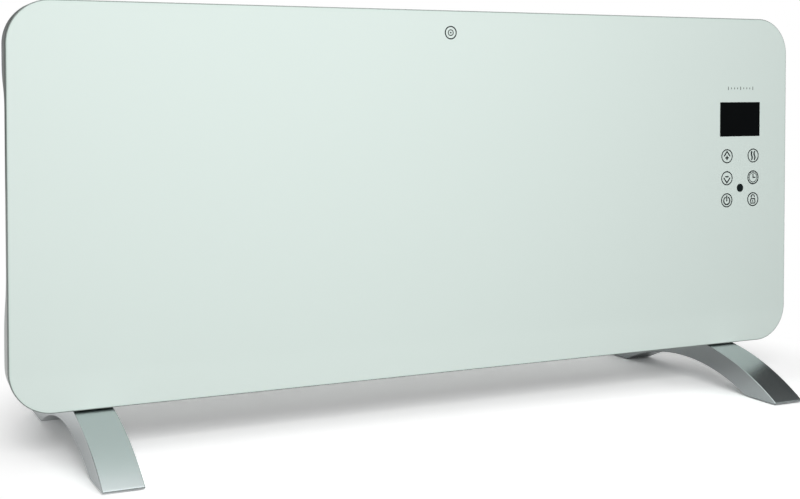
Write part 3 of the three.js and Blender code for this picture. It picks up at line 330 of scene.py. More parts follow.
# The enamel stops short of the bevel, so a margin of clear glass shows greener round the pane.
tree = enamel.node_tree
middle = (0, GLASS_FRONT, (GLASS["bottom"] + GLASS["top"]) / 2)
straight = (GLASS["right"] - GLASS["radius"], 0, (GLASS["top"] - GLASS["bottom"]) / 2 - GLASS["radius"])
place = add_node(tree, "ShaderNodeTexCoord").outputs["Object"]
place = reckon_place(tree, "SUBTRACT", place, middle)
place = reckon_place(tree, "MULTIPLY", place, (1, 0, 1))
place = reckon_place(tree, "ABSOLUTE", place)
place = reckon_place(tree, "SUBTRACT", place, straight)
place = reckon_place(tree, "MAXIMUM", place, (0, 0, 0))
enamel_end = GLASS["radius"] - CLEAR_MARGIN
margin = ramp(tree, reckon_place(tree, "LENGTH", place), enamel_end, enamel_end + MARGIN_FADE)
clear = add_node(tree, "ShaderNodeMixRGB", (margin, WHITE, (0.965, 0.985, 0.975, 1))).outputs[0]
edge = add_node(tree, "ShaderNodeMixRGB", (1.0, tree.nodes["tone"].outputs[0], clear), blend_type="MULTIPLY")
tree.links.new(edge.outputs[0], tree.nodes["Principled BSDF"].inputs["Base Color"])

rim = surface("glass_edge", rgb(150, 160, 156), 0.2, mottle=(20.0, 0.03), grain=(500.0, 0.02))
under_glass(rim, 0.05)
finished(glass, enamel, "heater", ["glass_panel"])
glass.data.materials.append(rim)
for face in glass.data.polygons:
    face.material_index = 0 if abs(face.normal.y) > 0.999 else 1


# ---- Print: key rings, signs, display window and receiver window, in dark enamel on the pane.
# A few plain scale ticks stand above the display, and a ringed dot at the middle of the top.
INK_Y = GLASS_FRONT - 0.05 * MM
KEYS_X, TOP_ROW = 0.3395, 0.2359
KEY_SPREAD, KEY_STEP = 17.1 * MM, 22.8 * MM
KEY_RADIUS = 6.75 * MM
RING_LINE, SIGN_LINE = 1.15 * MM, 1.4 * MM
RECEIVER_Z, RECEIVER_RADIUS = 0.2027, 4.3 * MM
SCALE_Z, SCALE_STEP = 0.3059, 4 * MM
TOP_SIGN_Z = 0.3575
WINDOW = dict(left=KEYS_X - 26.5 * MM, right=KEYS_X + 25.4 * MM, bottom=0.2562, top=0.2916, radius=0.6 * MM)


def rounded_loop(left, right, bottom, top, radius, steps, between=1):
    """Points (x, z) round a rounded rectangle, with each straight side split into equal parts."""
    corners = []
    for x, z, start in ((right, bottom, -90), (right, top, 0), (left, top, 90), (left, bottom, 180)):
        centre_x = x - math.copysign(radius, x - (left + right) / 2)
        centre_z = z - math.copysign(radius, z - (bottom + top) / 2)
        turns = [math.radians(start + 90 * i / steps) for i in range(steps + 1)]
        corners.append([(centre_x + radius * math.cos(t), centre_z + radius * math.sin(t)) for t in turns])
    loop = []
    for corner, following in zip(corners, corners[1:] + corners[:1]):
        loop += corner
        for i in range(1, between):
            loop.append(tuple(a + (b - a) * i / between for a, b in zip(corner[-1], following[0])))
    return loop


def to_object(name, mesh):
    """A bmesh as an object, smooth but for its edges sharper than 35 degrees."""
    data = bpy.data.meshes.new(name)
    mesh.to_mesh(data)
    mesh.free()
    data.shade_smooth()
    data.set_sharp_from_angle(angle=math.radians(35))
    obj = bpy.data.objects.new(name, data)
    scene.collection.objects.link(obj)
    return obj


def printed(name, mesh, material):
    """Turn the print's faces to the front and lay it on the pane."""
    for face in mesh.faces:
        face.normal_update()
        if face.normal.y > 0:
            face.normal_flip()
    obj = to_object(name, mesh)
    obj.data.materials.append(material)
    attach(obj, "heater")


def patch(points):
    ink.faces.new([ink.verts.new((x, INK_Y, z)) for x, z in points])


def stroke(points, width, closed=False, caps=True):
    """A line of even width through points, as quads with mitred joints and round ends."""
    path = [Vector(p) for p in points]
    following = path[1:] + path[:1] if closed else path[1:]
    ways = [(b - a).normalized() for a, b in zip(path, following)]
    edges = []
    for i, point in enumerate(path):
        before = ways[i - 1] if closed or i > 0 else ways[0]
        after = ways[i] if i < len(ways) else ways[-1]
        way = (before + after).normalized()
        side = Vector((-way.y, way.x))
        across = width / 2 / max(0.5, abs(side.dot(Vector((-before.y, before.x)))))
        edges.append((point + side * across, point - side * across))
    following = edges[1:] + edges[:1] if closed else edges[1:]
    for (left, right), (next_left, next_right) in zip(edges, following):
        patch([left, next_left, next_right, right])
    if closed or not caps:
        return
    for end, way in ((path[0], path[0] - path[1]), (path[-1], path[-1] - path[-2])):
        start = math.degrees(math.atan2(way.y, way.x))
        patch(arc(end.x, end.y, width / 2, start - 90, start + 90, 6))


def arc(x, z, radius, start, end, steps=32):
    turns = [math.radians(start + (end - start) * i / steps) for i in range(steps + 1)]
    return [(x + radius * math.cos(t), z + radius * math.sin(t)) for t in turns]


def circle(x, z, radius, width):
    stroke(arc(x, z, radius, 0, 360, 48)[:-1], width, closed=True)


def disc(x, z, radius, steps=32):
    patch(arc(x, z, radius, 0, 360, steps)[:-1])


def at(x, z, points):
    """Points in millimetres about a key's middle."""
    return [(x + a * MM, z + b * MM) for a, b in points]


ink = bmesh.new()
left_x, right_x = KEYS_X - KEY_SPREAD, KEYS_X + KEY_SPREAD
top_z, middle_z, low_z = [TOP_ROW - i * KEY_STEP for i in range(3)]
for z in (top_z, middle_z, low_z):
    for x in (left_x, right_x):
        circle(x, z, KEY_RADIUS, RING_LINE)
# Warmer, a chevron over a plus. Cooler, a chevron under a minus. On and off, a broken ring and a bar.
stroke(at(left_x, top_z, [(-3.6, 0.3), (0, 4.8), (3.6, 0.3)]), SIGN_LINE)
stroke(at(left_x, top_z, [(-1.7, -1.7), (1.7, -1.7)]), SIGN_LINE)
for low, high in ((-0.95, 0.7), (-4.1, -2.45)):
    stroke(at(left_x, top_z, [(0, high), (0, low)]), SIGN_LINE, caps=False)
stroke(at(left_x, middle_z, [(-3.8, 0.1), (0, -4.8), (3.8, 0.1)]), SIGN_LINE)
stroke(at(left_x, middle_z, [(-1.6, 1.6), (1.6, 1.6)]), SIGN_LINE)
stroke(arc(left_x, low_z - 0.4 * MM, 3.9 * MM, 60, -240), SIGN_LINE)
stroke(at(left_x, low_z, [(0, -0.5), (0, 4.6)]), 1.45 * MM)
# Heat, two waves. Timer, a clock with hour marks. Child lock, an open padlock.
for shift in (-1.8, 1.8):
    wave = [(shift + 0.6 * math.sin(i / 10 * 2 * math.pi), -4.0 + 0.8 * i) for i in range(11)]
    stroke(at(right_x, top_z, wave), 1.75 * MM)
circle(right_x, middle_z, 4.85 * MM, 0.7 * MM)
for hour in range(12):
    turn = math.radians(30 * hour)
    mark = [(r * math.cos(turn), r * math.sin(turn)) for r in (5.25, 6.1)]
    stroke(at(right_x, middle_z, mark), 0.6 * MM, caps=False)
stroke(at(right_x, middle_z, [(0, 3.3), (0, 0), (2.7, 0)]), 1.3 * MM)
stroke(at(right_x, low_z, rounded_loop(-2.8, 2.8, -4.1, 0.5, 0.7, 4)), RING_LINE, closed=True)
stroke(at(right_x, low_z, [(0, -1.3), (0, -2.4)]), 1.2 * MM)
shackle = [(-2.2, 1.7), (-2.2, 2.4)] + arc(0, 2.4, 2.2, 180, 0, 12)
stroke(at(right_x, low_z, shackle), RING_LINE)
disc(KEYS_X, RECEIVER_Z, RECEIVER_RADIUS)
for i in range(-4, 5):
    tick = 1.7 if i % 4 == 0 else 0.9
    stroke(at(KEYS_X + i * SCALE_STEP, SCALE_Z, [(0, -tick), (0, tick)]), 0.75 * MM, caps=False)
circle(0, TOP_SIGN_Z, 5.7 * MM, 1.1 * MM)
circle(0, TOP_SIGN_Z, 2.6 * MM, 0.8 * MM)
disc(0, TOP_SIGN_Z, 0.8 * MM, 16)
print_ink = surface("print_ink", rgb(24, 32, 33), 0.4, mottle=(300.0, 0.08), grain=(900.0, 0.0))
printed("printed_signs", ink, under_glass(print_ink, 0.03))

ink = bmesh.new()
patch(rounded_loop(**WINDOW, steps=3))
film = surface("display_film", rgb(9, 11, 12), 0.35, mottle=(60.0, 0.15), grain=(900.0, 0.0))
printed("display_window", ink, under_glass(film, 0.02))


# ---- Frame: moulded rim behind the pane, in silver-grey paint, with a flange that carries it.
# Its skirt draws back at both sides to a finger grip, and its free edge is rounded.
FRAME = dict(left=-0.3997, right=0.3997, bottom=0.0444, top=0.3777, radius=0.0357)
FRAME_WALL, FRAME_ROUND, FRAME_CHAMFER = 2.5 * MM, 1.0 * MM, 0.15 * MM
FLANGE_BACK, FLANGE_WIDTH = -0.0375, 25.5 * MM
SKIRT_BACK, GRIP_BACK = -0.0235, -0.0350
GRIP_Z, GRIP_HALF, GRIP_RUN_BELOW, GRIP_RUN_ABOVE = 0.225, 64 * MM, 60 * MM, 39 * MM
SIDE_FROM_X = 0.38


def grip_curve(share):
    """How deep the grip's S-curve is, for a share of its run along the frame's side."""
    low, high = 0.0, 1.0
    for _ in range(30):
        t = (low + high) / 2
        run = 3 * (1 - t) ** 2 * t * 0.5 + 3 * (1 - t) * t * t * 0.5 + t ** 3
        low, high = (t, high) if run < share else (low, t)
    return 3 * (1 - t) * t * t + t ** 3


def skirt_back(x, z):
    """Where the skirt ends at a point of the frame's outline."""
    below = (z - (GRIP_Z - GRIP_HALF - GRIP_RUN_BELOW)) / GRIP_RUN_BELOW
    above = (GRIP_Z + GRIP_HALF + GRIP_RUN_ABOVE - z) / GRIP_RUN_ABOVE
    share = min(1.0, below, above)
    if abs(x) < SIDE_FROM_X or share <= 0:
        return SKIRT_BACK
    return SKIRT_BACK + (GRIP_BACK - SKIRT_BACK) * grip_curve(share)


def frame_loop(inset):
    """The frame's outline, drawn in by the inset, as points (x, z)."""
    sides = {side: FRAME[side] + inset for side in ("left", "bottom")}
    sides.update({side: FRAME[side] - inset for side in ("right", "top", "radius")})
    return rounded_loop(**sides, steps=20, between=96)


def ring_skin(name, rings):
    """A skin over rings of equally many points, the last joined to the first."""
    mesh = bmesh.new()
    grid = [[mesh.verts.new(point) for point in ring] for ring in rings]
    for low, high in zip(grid, grid[1:] + grid[:1]):
        for i in range(len(low)):
            j = (i + 1) % len(low)
            mesh.faces.new((low[i], low[j], high[j], high[i]))
    bmesh.ops.recalc_face_normals(mesh, faces=mesh.faces)
    return to_object(name, mesh)


# The section, from the front round the free edge to the flange: how far in from the outline, the
# depth, and whether the depth is counted from the skirt's end.
turns = [math.radians(90 * i / 4) for i in range(5)]
section = [
    (FRAME_CHAMFER, GLASS_BACK, False),
    (0, GLASS_BACK + FRAME_CHAMFER, False),
    (0, -FRAME_ROUND, True),
]
for t in turns[1:]:
    section.append((FRAME_ROUND * (1 - math.cos(t)), -FRAME_ROUND * (1 - math.sin(t)), True))
for t in turns:
    section.append((FRAME_WALL - FRAME_ROUND * (1 - math.sin(t)), -FRAME_ROUND * (1 - math.cos(t)), True))
section += [
    (FRAME_WALL, FLANGE_BACK, False),
    (FLANGE_WIDTH, FLANGE_BACK, False),
    (FLANGE_WIDTH, GLASS_BACK, False),
]
outline = frame_loop(0)
rings = []
for inset, depth, on_skirt in section:
    rings.append([
        (x, skirt_back(*outer) + depth if on_skirt else depth, z)
        for (x, z), outer in zip(frame_loop(inset), outline)
    ])
rim_frame = ring_skin("moulded_frame", rings)
even_normals(rim_frame)
frame_paint = surface(
    "frame_paint", rgb(186, 190, 188), 0.4, metallic=0.6, mottle=(12.0, 0.03), grain=(1400.0, 0.12),
)
rim_frame.data.materials.append(frame_paint)
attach(rim_frame, "heater")
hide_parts("glass_frame")


# ---- Casing: 1.2 mm steel sheet, drawn to a shallow box with a lip, powder coated light grey.
# Its back has three rows of pressed louvres, two keyholes, and holes for the switch and the inlet.
SHEET = 1.2 * MM
CASING = dict(left=-0.372, right=0.372, front=-0.0347, back=0.0445, bottom=0.0472, top=0.356)
LIP_X, LIP_FRONT, LIP_TOP = 0.3967, -0.0359, 0.3747
LOUVRES_X, LOUVRES_Z = -0.042, 0.076
LOUVRE_HALF, LOUVRE_HEIGHT, LOUVRE_DEPTH, LOUVRE_ROUND = 33 * MM, 9 * MM, 4.5 * MM, 3.9 * MM
LOUVRE_PITCH, LOUVRE_ROW = 78 * MM, 17 * MM
AIRWAY_Y = 7.55 * MM
FLOOR_SLOTS, SLOTS_X, SLOT_PITCH = 22, -0.010, 21 * MM
SLOT_HALF_WIDTH, SLOT_HALF_LENGTH = 3.5 * MM, 22 * MM
OUTLET_X, OUTLET_HALF_DEPTH = 0.3204, 26.4 * MM
SWITCH_X, SWITCH_Z = 0.336, 0.128
INLET_X, INLET_Z = 0.336, 0.080
KEYHOLE_X, KEYHOLE_Z, KEYHOLE_TOP = 0.250, 0.310, 0.3246
KEYHOLE_RADIUS, KEYHOLE_HALF_SLOT = 5.5 * MM, 2.6 * MM
BACK_CUT_FRONT, BACK_CUT_END = 0.0405, 0.0465
BACK_CUT_Y, BACK_CUT_LENGTH = 0.0435, 6 * MM
FEET_X = {"left": -0.3315, "right": 0.3180}
FOOT_SCREWS_Y, FOOT_HOLE_RADIUS = (-8 * MM, 28 * MM), 2.9 * MM


def peg(name, middle, radius, length, axis="Y", sides=48):
    """A round bar along an axis, about its middle."""
    turn = {"X": (0, math.pi / 2, 0), "Y": (math.pi / 2, 0, 0), "Z": (0, 0, 0)}[axis]
    bpy.ops.mesh.primitive_cylinder_add(
        vertices=sides, radius=radius, depth=length, location=middle, rotation=turn,
    )
    settle()
    bpy.context.object.name = name
    return bpy.context.object


def joined(pieces):
    only(pieces[0])
    for piece in pieces[1:]:
        piece.select_set(True)
    if len(pieces) > 1:
        bpy.ops.object.join()
    return pieces[0]


def combine(obj, operation, others):
    """Cut the others out of a piece, or add them to it."""
    other = joined(others)
    modifier = obj.modifiers.new("combine", "BOOLEAN")
    modifier.operation = operation
    modifier.object = other
    modifier.solver = "EXACT"
    modifier.use_self = operation == "UNION"
    apply_modifiers(obj)
    bpy.data.objects.remove(other)
    return obj


def casing_form(name, inset, front):
    """The casing's box with its corners and its back edges rounded, drawn in by the inset."""
    left, right = CASING["left"] + inset, CASING["right"] - inset
    bottom, top, back = CASING["bottom"] + inset, CASING["top"] - inset, CASING["back"] - inset
    form = box(name, (left, front, bottom), (right, back, top))
    round_edges(form, along(1), 14 * MM - inset, 12)
    round_edges(form, same(1, back), 7 * MM - inset, 8)
    return form


def hood(name, x, z, inset):
    """One louvre's hood: open below, rounded at its crest, its head and its ends."""
    back = CASING["back"]
    low = (x - LOUVRE_HALF + inset, back - SHEET - (2 * MM if inset else 0), z - inset)
    high = (x + LOUVRE_HALF - inset, back + LOUVRE_DEPTH - inset, z + LOUVRE_HEIGHT - inset)
    form = box(name, low, high)
    crest, mouth = same(1, high[1]), same(2, low[2])
    head, ends = same(2, high[2]), same(0, low[0], high[0])
    round_edges(
        form,
        lambda a, b: (crest(a, b) and not mouth(a, b)) or (head(a, b) and ends(a, b)),
        LOUVRE_ROUND - 0.7 * inset,
        5,
    )
    return form


casing = casing_form("back_casing", 0, CASING["front"])
lip = box("lip", (-LIP_X, LIP_FRONT, CASING["bottom"]), (LIP_X, CASING["front"] + 0.2 * MM, LIP_TOP))
round_edges(lip, along(1), 32.7 * MM, 16)
combine(casing, "UNION", [lip])
louvres = [
    (LOUVRES_X + column * LOUVRE_PITCH, LOUVRES_Z + row * LOUVRE_ROW)
    for column in range(-3, 4) for row in range(3)
]
combine(casing, "UNION", [hood("hood", x, z, 0) for x, z in louvres])
combine(casing, "DIFFERENCE", [casing_form("inside", SHEET, -0.05)])
cutters = [hood("mouth", x, z, SHEET) for x, z in louvres]
for i in range(FLOOR_SLOTS):
    x = SLOTS_X + (i - (FLOOR_SLOTS - 1) / 2) * SLOT_PITCH
    slot = box(
        "floor_slot",
        (x - SLOT_HALF_WIDTH, AIRWAY_Y - SLOT_HALF_LENGTH, 0.040),
        (x + SLOT_HALF_WIDTH, AIRWAY_Y + SLOT_HALF_LENGTH, 0.050),
    )
    round_edges(slot, along(2), 3.4 * MM, 5)
    cutters.append(slot)
cutters.append(box(
    "outlet",
    (-OUTLET_X, AIRWAY_Y - OUTLET_HALF_DEPTH, 0.350),
    (OUTLET_X, AIRWAY_Y + OUTLET_HALF_DEPTH, 0.360),
))
cutters.append(box(
    "switch_hole",
    (SWITCH_X - 11 * MM, 0.040, SWITCH_Z - 15 * MM), (SWITCH_X + 11 * MM, 0.047, SWITCH_Z + 15 * MM),
))
cutters.append(peg("inlet_hole", (INLET_X, BACK_CUT_Y, INLET_Z), 6.6 * MM, BACK_CUT_LENGTH))
for x in (-KEYHOLE_X, KEYHOLE_X):
    keyhole = peg("keyhole", (x, BACK_CUT_Y, KEYHOLE_Z), KEYHOLE_RADIUS, BACK_CUT_LENGTH)
    slot = box(
        "slot",
        (x - KEYHOLE_HALF_SLOT, BACK_CUT_FRONT, KEYHOLE_Z),
        (x + KEYHOLE_HALF_SLOT, BACK_CUT_END, KEYHOLE_TOP),
    )
    round_edges(slot, lambda a, b: along(1)(a, b) and same(2, KEYHOLE_TOP)(a, b), 2.5 * MM, 6)
    cutters.append(combine(keyhole, "UNION", [slot]))
for foot_x in FEET_X.values():
    for y in FOOT_SCREWS_Y:
        cutters.append(peg("foot_hole", (foot_x, y, 0.0478), FOOT_HOLE_RADIUS, 6 * MM, "Z", 24))
for i in range(1, 9):
    low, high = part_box(f"casing_screw_{i}")
    middle = ((low[0] + high[0]) / 2, -0.0353, (low[2] + high[2]) / 2)
    cutters.append(peg("screw_hole", middle, 2.1 * MM, 4 * MM, "Y", 24))
combine(casing, "DIFFERENCE", cutters)
paint = surface("casing_paint", rgb(203, 209, 206), 0.45, mottle=(5.0, 0.02), grain=(1100.0, 0.25))
finished(casing, paint, "heater", ["rear_casing"])


# ---- Outlet grille: one grey moulding that drops into the casing's top. A rounded rim lies on
# the sheet, five long blades lean back, and ribs below tie them to the walls.
GRILLE_WALL, GRILLE_RIM, GRILLE_RIM_DEPTH = 2 * MM, 4 * MM, 2 * MM
BLADES, BLADE_HALF_THICK, BLADE_HALF_WIDE, BLADE_LEAN = 5, 0.8 * MM, 6.2 * MM, 32
BLADE_DROP = 6.5 * MM
RIBS = 7
low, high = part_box("outlet_grille")
left, right = low[0] + GRILLE_RIM, high[0] - GRILLE_RIM
front, back = low[1] + GRILLE_RIM, high[1] - GRILLE_RIM
grille = box("top_grille", (low[0], low[1], high[2] - GRILLE_RIM_DEPTH), high)
round_edges(grille, along(2), 3 * MM, 6)
round_edges(grille, same(2, high[2]), 0.8 * MM, 3)
combine(grille, "UNION", [box("walls", (left, front, low[2]), (right, back, high[2] - 0.5 * MM))])
combine(grille, "DIFFERENCE", [box(
    "throat",
    (left + GRILLE_WALL, front + GRILLE_WALL, low[2] - MM),
    (right - GRILLE_WALL, back - GRILLE_WALL, high[2] + MM),
)])
blades = []
width = back - front - 2 * GRILLE_WALL
for i in range(BLADES):
    blade = box(
        "blade",
        (left + MM, -BLADE_HALF_THICK, -BLADE_HALF_WIDE),
        (right - MM, BLADE_HALF_THICK, BLADE_HALF_WIDE),
    )
    round_edges(blade, along(0), 0.6 * MM, 3)
    only(blade)
    blade.rotation_euler = (math.radians(BLADE_LEAN), 0, 0)
    blade.location = (0, AIRWAY_Y + ((i + 0.5) / BLADES - 0.5) * width, high[2] - BLADE_DROP)
    settle()
    blades.append(blade)
ribs = []
for i in range(1, RIBS + 1):
    x = (i / (RIBS + 1) - 0.5) * (right - left - 2 * GRILLE_WALL)
    ribs.append(box("rib", (x - MM, front + MM, low[2]), (x + MM, back - MM, high[2] - BLADE_DROP)))
combine(grille, "UNION", blades)
combine(grille, "UNION", ribs)
grille_plastic = surface("grille_plastic", rgb(96, 101, 102), 0.5, mottle=(14.0, 0.04), grain=(1400.0, 0.2))
finished(grille, grille_plastic, "heater", ["outlet_grille"])


# ---- Casing screws: eight zinc-plated pan heads with a cross recess. They go through the
# casing's lip and the heat shield into the frame.
HEAD_RADIUS, HEAD_HEIGHT, HEAD_ROUND = 3.6 * MM, 2.2 * MM, 1.3 * MM
SHANK_RADIUS = 1.7 * MM
CROSS_LONG, CROSS_THIN, CROSS_DEEP = 2.0 * MM, 0.45 * MM, 1.4 * MM
screw_steel = surface(
    "screw_steel", rgb(168, 172, 175), 0.3, metallic=1.0, mottle=(200.0, 0.08), grain=(900.0, 0.08),
)
for i in range(1, 9):
    low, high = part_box(f"casing_screw_{i}")
    x, z = (low[0] + high[0]) / 2, (low[2] + high[2]) / 2
    head = peg("pan_head", (x, high[1] - HEAD_HEIGHT / 2, z), HEAD_RADIUS, HEAD_HEIGHT)
    round_edges(head, same(1, high[1]), HEAD_ROUND, 5)
    shank_end = high[1] - MM
    shank = peg("shank", (x, (low[1] + shank_end) / 2, z), SHANK_RADIUS, shank_end - low[1], "Y", 24)
    combine(head, "UNION", [shank])
    for across, down in ((CROSS_LONG, CROSS_THIN), (CROSS_THIN, CROSS_LONG)):
        combine(head, "DIFFERENCE", [box(
            "cross", (x - across, high[1] - CROSS_DEEP, z - down), (x + across, high[1] + MM, z + down),
        )])
    head.name = f"pan_screw_{i}"
    finished(head, screw_steel, "heater", [f"casing_screw_{i}"])


# ---- Feet: two bars of silver anodised aluminium, bent to an arch and bevelled along their edges.
# A seat on top of each takes the casing's floor, and rubber pads sit in the toes.
FOOT_WIDTH, FOOT_HALF, ARCH_HALF = 33 * MM, 143.5 * MM, 100 * MM
TOE, TIP, CROWN, ARCH_RISE = 1.0 * MM, 2.6 * MM, 44.5 * MM, 22 * MM
OUTER_RADIUS = (FOOT_HALF ** 2 + (CROWN - TIP) ** 2) / (2 * (CROWN - TIP))
INNER_RADIUS = (ARCH_HALF ** 2 + ARCH_RISE ** 2) / (2 * ARCH_RISE)
SEAT_HALF, SEAT_TOP = 14 * MM, 46.9 * MM
PAD_Y, PAD_HALF_X, PAD_HALF_Y, PAD_THICK, PAD_GAP = 123.5 * MM, 11 * MM, 14 * MM, 3 * MM, 0.3 * MM


def bevel_all(obj, width, angle):
    """Bevel every edge sharper than the angle."""
    edges = obj.modifiers.new("edges", "BEVEL")
    edges.width = width
    edges.segments = 3
    edges.angle_limit = math.radians(angle)
    apply_modifiers(obj)


def about(name, x, y, half_x, half_y, low_z, high_z):
    """A box about a point of the floor plan."""
    return box(name, (x - half_x, y - half_y, low_z), (x + half_x, y + half_y, high_z))


silver = surface(
    "foot_silver", rgb(194, 200, 201), 0.26, metallic=1.0,
    mottle=(9.0, 0.02), grain=(1800.0, 0.03), spread=0.03,
)
rubber = surface("pad_rubber", rgb(38, 40, 42), 0.85, mottle=(80.0, 0.1), grain=(1500.0, 0.3))
for side, foot_x in FEET_X.items():
    foot = peg(f"{side}_arched_foot", (foot_x, 0, CROWN - OUTER_RADIUS), OUTER_RADIUS, FOOT_WIDTH, "X", 360)
    combine(foot, "INTERSECT", [about("length", foot_x, 0, 20 * MM, FOOT_HALF, TOE, 60 * MM)])
    arch_middle = (foot_x, 0, TOE + ARCH_RISE - INNER_RADIUS)
    combine(foot, "DIFFERENCE", [peg("arch", arch_middle, INNER_RADIUS, 40 * MM, "X", 360)])
    bevel_all(foot, 0.7 * MM, 40)
    seat = box("seat", (foot_x - SEAT_HALF, -20 * MM, 32 * MM), (foot_x + SEAT_HALF, 40 * MM, SEAT_TOP))
    round_edges(seat, along(2), 2 * MM, 5)
    combine(foot, "UNION", [seat])
    wells = [peg("well", (foot_x, y, 15.5 * MM), 5.1 * MM, 45 * MM, "Z", 32) for y in FOOT_SCREWS_Y]
    combine(foot, "DIFFERENCE", wells)
    holes = [peg("hole", (foot_x, y, 42 * MM), FOOT_HOLE_RADIUS, 20 * MM, "Z", 24) for y in FOOT_SCREWS_Y]
    combine(foot, "DIFFERENCE", holes)
    recesses = []
    for end, y in (("front", -PAD_Y), ("back", PAD_Y)):
        recess = about(
            "recess", foot_x, y, PAD_HALF_X + PAD_GAP, PAD_HALF_Y + PAD_GAP, -MM, PAD_THICK + PAD_GAP,
        )
        round_edges(recess, along(2), 4 * MM, 6)
        recesses.append(recess)
        pad = about(f"{side}_{end}_rubber", foot_x, y, PAD_HALF_X, PAD_HALF_Y, 0, PAD_THICK)
        round_edges(pad, along(2), 4 * MM, 6)
        round_edges(pad, same(2, 0), 0.5 * MM, 3)
        steps = (-7 * MM, 0, 7 * MM)
        grooves = [about("groove", foot_x, y + step, 8 * MM, 0.6 * MM, -MM, 0.6 * MM) for step in steps]
        combine(pad, "DIFFERENCE", grooves)
        finished(pad, rubber, "heater", [f"{side}_{end}_pad"])
    combine(foot, "DIFFERENCE", recesses)
    finished(foot, silver, "heater", [f"{side}_foot"], angle=35)


# ---- Mains switch: a black nylon housing that snaps into the casing's back, with a rocker on a pin.
# The rocker has a hollow face, and the usual stroke and ring are printed on its two ends.
PIVOT_Y, REST_TURN = 0.044, -10
FLANGE_FRONT, FLANGE_OVERLAP, HOUSING_FRONT = 0.0448, 2 * MM, 0.0313
PIN_RADIUS, PIN_LENGTH, PIN_GAP = 1.4 * MM, 20.6 * MM, 0.3 * MM
ROCKER_HALF, ROCKER_REACH, ROCKER_TAPER = 8.8 * MM, 11.5 * MM, 0.72
TAB_Z = 8.8 * MM
low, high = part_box("switch_housing")
housing = box("switch_frame", (low[0], FLANGE_FRONT, low[2]), high)
round_edges(housing, along(1), 1.6 * MM, 6)
round_edges(housing, same(1, high[1]), 0.6 * MM, 3)
combine(housing, "UNION", [box(
    "body",
    (low[0] + FLANGE_OVERLAP, HOUSING_FRONT, low[2] + FLANGE_OVERLAP),
    (high[0] - FLANGE_OVERLAP, high[1] - 1.1 * MM, high[2] - FLANGE_OVERLAP),
)])
combine(housing, "DIFFERENCE", [box(
    "well",
    (SWITCH_X - 9.2 * MM, 0.0327, SWITCH_Z - 13.2 * MM),
    (SWITCH_X + 9.2 * MM, 0.048, SWITCH_Z + 13.2 * MM),
)])
pin_hole = peg("pin_hole", (SWITCH_X, PIVOT_Y, SWITCH_Z), PIN_RADIUS + PIN_GAP, 21.8 * MM, "X", 24)
combine(housing, "DIFFERENCE", [pin_hole])
combine(housing, "UNION", [
    box("tab", (SWITCH_X - 3.15 * MM, low[1], z - 0.4 * MM), (SWITCH_X + 3.15 * MM, 0.032, z + 0.4 * MM))
    for z in (SWITCH_Z - TAB_Z, SWITCH_Z + TAB_Z)
])
nylon = surface("switch_black", rgb(24, 25, 27), 0.42, mottle=(60.0, 0.1), grain=(1600.0, 0.25))
finished(housing, nylon, "heater", ["switch_housing"])


def split_along_z(obj, cuts):
    """Cut a box's upright edges, so that its face can be bent."""
    pick_edges(obj, along(2))
    bpy.ops.mesh.subdivide(number_cuts=cuts)
    bpy.ops.object.mode_set(mode="OBJECT")


def hollow(z):
    """How far the rocker's face stands before its pin."""
    return (5.4 + 1.8 * (z / ROCKER_REACH) ** 2) * MM


rocker = box(
    "power_rocker_cap", (-ROCKER_HALF, -1.4 * MM, -ROCKER_REACH), (ROCKER_HALF, 7.2 * MM, ROCKER_REACH),
)
split_along_z(rocker, 15)
for vert in rocker.data.vertices:
    if vert.co.y > 0:
        vert.co.y = hollow(vert.co.z)
    else:
        vert.co.y = (-2.8 + 1.4 * (vert.co.z / ROCKER_REACH) ** 2) * MM
        vert.co.z *= ROCKER_TAPER
bevel_all(rocker, 0.6 * MM, 50)
combine(rocker, "UNION", [peg("pin", (0, 0, 0), PIN_RADIUS, PIN_LENGTH, "X", 24)])
bpy.ops.mesh.primitive_torus_add(
    major_radius=2.0 * MM, minor_radius=0.4 * MM, major_segments=40, minor_segments=8,
    location=(0, 0, -6.2 * MM), rotation=(math.pi / 2, 0, 0),
)
settle()
ring = bpy.context.object
bar = box("bar", (-0.4 * MM, -0.4 * MM, 4.2 * MM), (0.4 * MM, 0.4 * MM, 8.4 * MM))
round_edges(bar, along(1), 0.3 * MM, 3)
split_along_z(bar, 5)
marks = joined([ring, bar])
marks.name = "rocker_marks"
for vert in marks.data.vertices:
    vert.co.y = hollow(vert.co.z) + 0.15 * vert.co.y
for piece in (rocker, marks):
    only(piece)
    piece.rotation_euler = (math.radians(REST_TURN), 0, 0)
    piece.location = (SWITCH_X, PIVOT_Y, SWITCH_Z)
    settle()
mark_white = surface("mark_white", rgb(224, 226, 224), 0.5, mottle=(400.0, 0.04), grain=(900.0, 0.1))
finished(rocker, nylon, "power_rocker", ["rocker_button"])
finished(marks, mark_white, "power_rocker")


# ---- Mains inlet: a flanged rubber bush, pressed into the hole in the casing's back below the
# switch. Its bore is open.
BUSH_FLANGE, BUSH_SLEEVE, BUSH_BORE = 8.6 * MM, 6.2 * MM, 4 * MM
BUSH_SEAT, SLEEVE_END = 0.0448, 0.0455
low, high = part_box("inlet_bush")
x, z = (low[0] + high[0]) / 2, (low[2] + high[2]) / 2
bush = peg("inlet_gland", (x, (BUSH_SEAT + high[1]) / 2, z), BUSH_FLANGE, high[1] - BUSH_SEAT, "Y", 64)
round_edges(bush, same(1, high[1]), 1.3 * MM, 6)
sleeve = peg("sleeve", (x, (low[1] + SLEEVE_END) / 2, z), BUSH_SLEEVE, SLEEVE_END - low[1], "Y", 64)
combine(bush, "UNION", [sleeve])
combine(bush, "DIFFERENCE", [peg("bore", (x, 0.04, z), BUSH_BORE, 0.03, "Y", 64)])
bevel_all(bush, 0.4 * MM, 50)
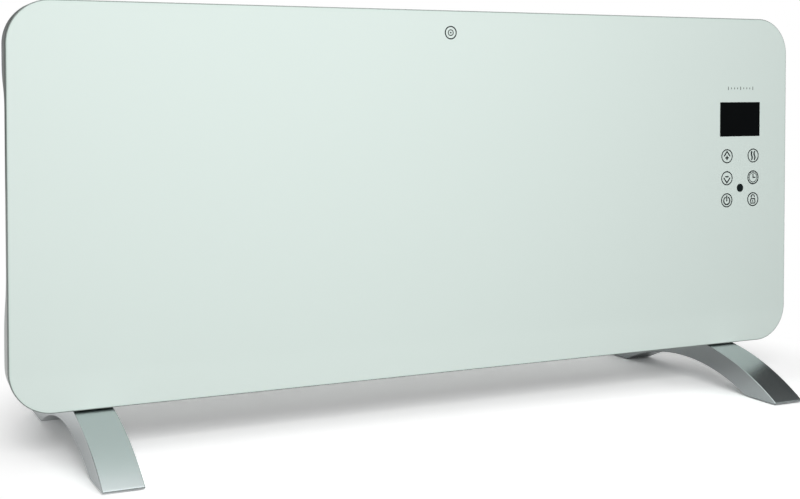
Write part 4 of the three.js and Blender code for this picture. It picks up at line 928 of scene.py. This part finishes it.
inlet_rubber = surface("inlet_rubber", rgb(28, 29, 31), 0.7, mottle=(80.0, 0.1), grain=(1400.0, 0.3))
finished(bush, inlet_rubber, "heater", ["inlet_bush"])


# ---- Carried pieces: the CAD's own solids, such as the element, the boards and the control box,
# each finished in the material it is made of.
bare_steel = surface(
    "bare_steel", rgb(178, 182, 184), 0.38, metallic=1.0,
    mottle=(60.0, 0.12), grain=(700.0, 0.08), spread=0.12,
)
element_aluminium = surface(
    "element_aluminium", rgb(190, 193, 196), 0.4, metallic=1.0,
    mottle=(30.0, 0.06), grain=(700.0, 0.12), stretch=(0.04, 1, 1), spread=0.1,
)
spring_brass = surface(
    "spring_brass", rgb(196, 178, 120), 0.3, metallic=1.0, mottle=(120.0, 0.06), grain=(900.0, 0.05),
)
finishes = {
    "casing_paint": paint,
    "bare_steel": bare_steel,
    "grille_grey": grille_plastic,
    "element_aluminium": element_aluminium,
    "spring_brass": spring_brass,
    "switch_black": nylon,
    "screw_steel": screw_steel,
    "pad_rubber": rubber,
    "pressed_glass": enamel,
    "frame_grey": frame_paint,
    "foot_silver": silver,
}
for name, color, roughness, mottle, grain in (
    ("ceramic", rgb(236, 230, 216), 0.55, (200.0, 0.05), (900.0, 0.15)),
    ("lead_silicone", rgb(226, 222, 210), 0.6, (80.0, 0.04), (900.0, 0.1)),
    ("circuit_board", rgb(36, 98, 62), 0.4, (400.0, 0.3), (600.0, 0.2)),
    ("component_black", rgb(34, 35, 37), 0.45, (80.0, 0.1), (1200.0, 0.15)),
    ("relay_blue", rgb(34, 58, 110), 0.4, (60.0, 0.05), (1200.0, 0.1)),
    ("transformer_tape", rgb(206, 168, 66), 0.45, (60.0, 0.1), (900.0, 0.1)),
    ("box_white", rgb(226, 226, 220), 0.5, (20.0, 0.03), (1400.0, 0.15)),
    ("display_black", rgb(16, 18, 19), 0.3, (60.0, 0.1), (1200.0, 0.05)),
):
    finishes[name] = surface(name, color, roughness, mottle=mottle, grain=grain)
for part in frame["record"]["subparts"]:
    for material_slot in frame["nodes"][part["node"]].material_slots:
        material_slot.material = finishes[part["material_slot"]]
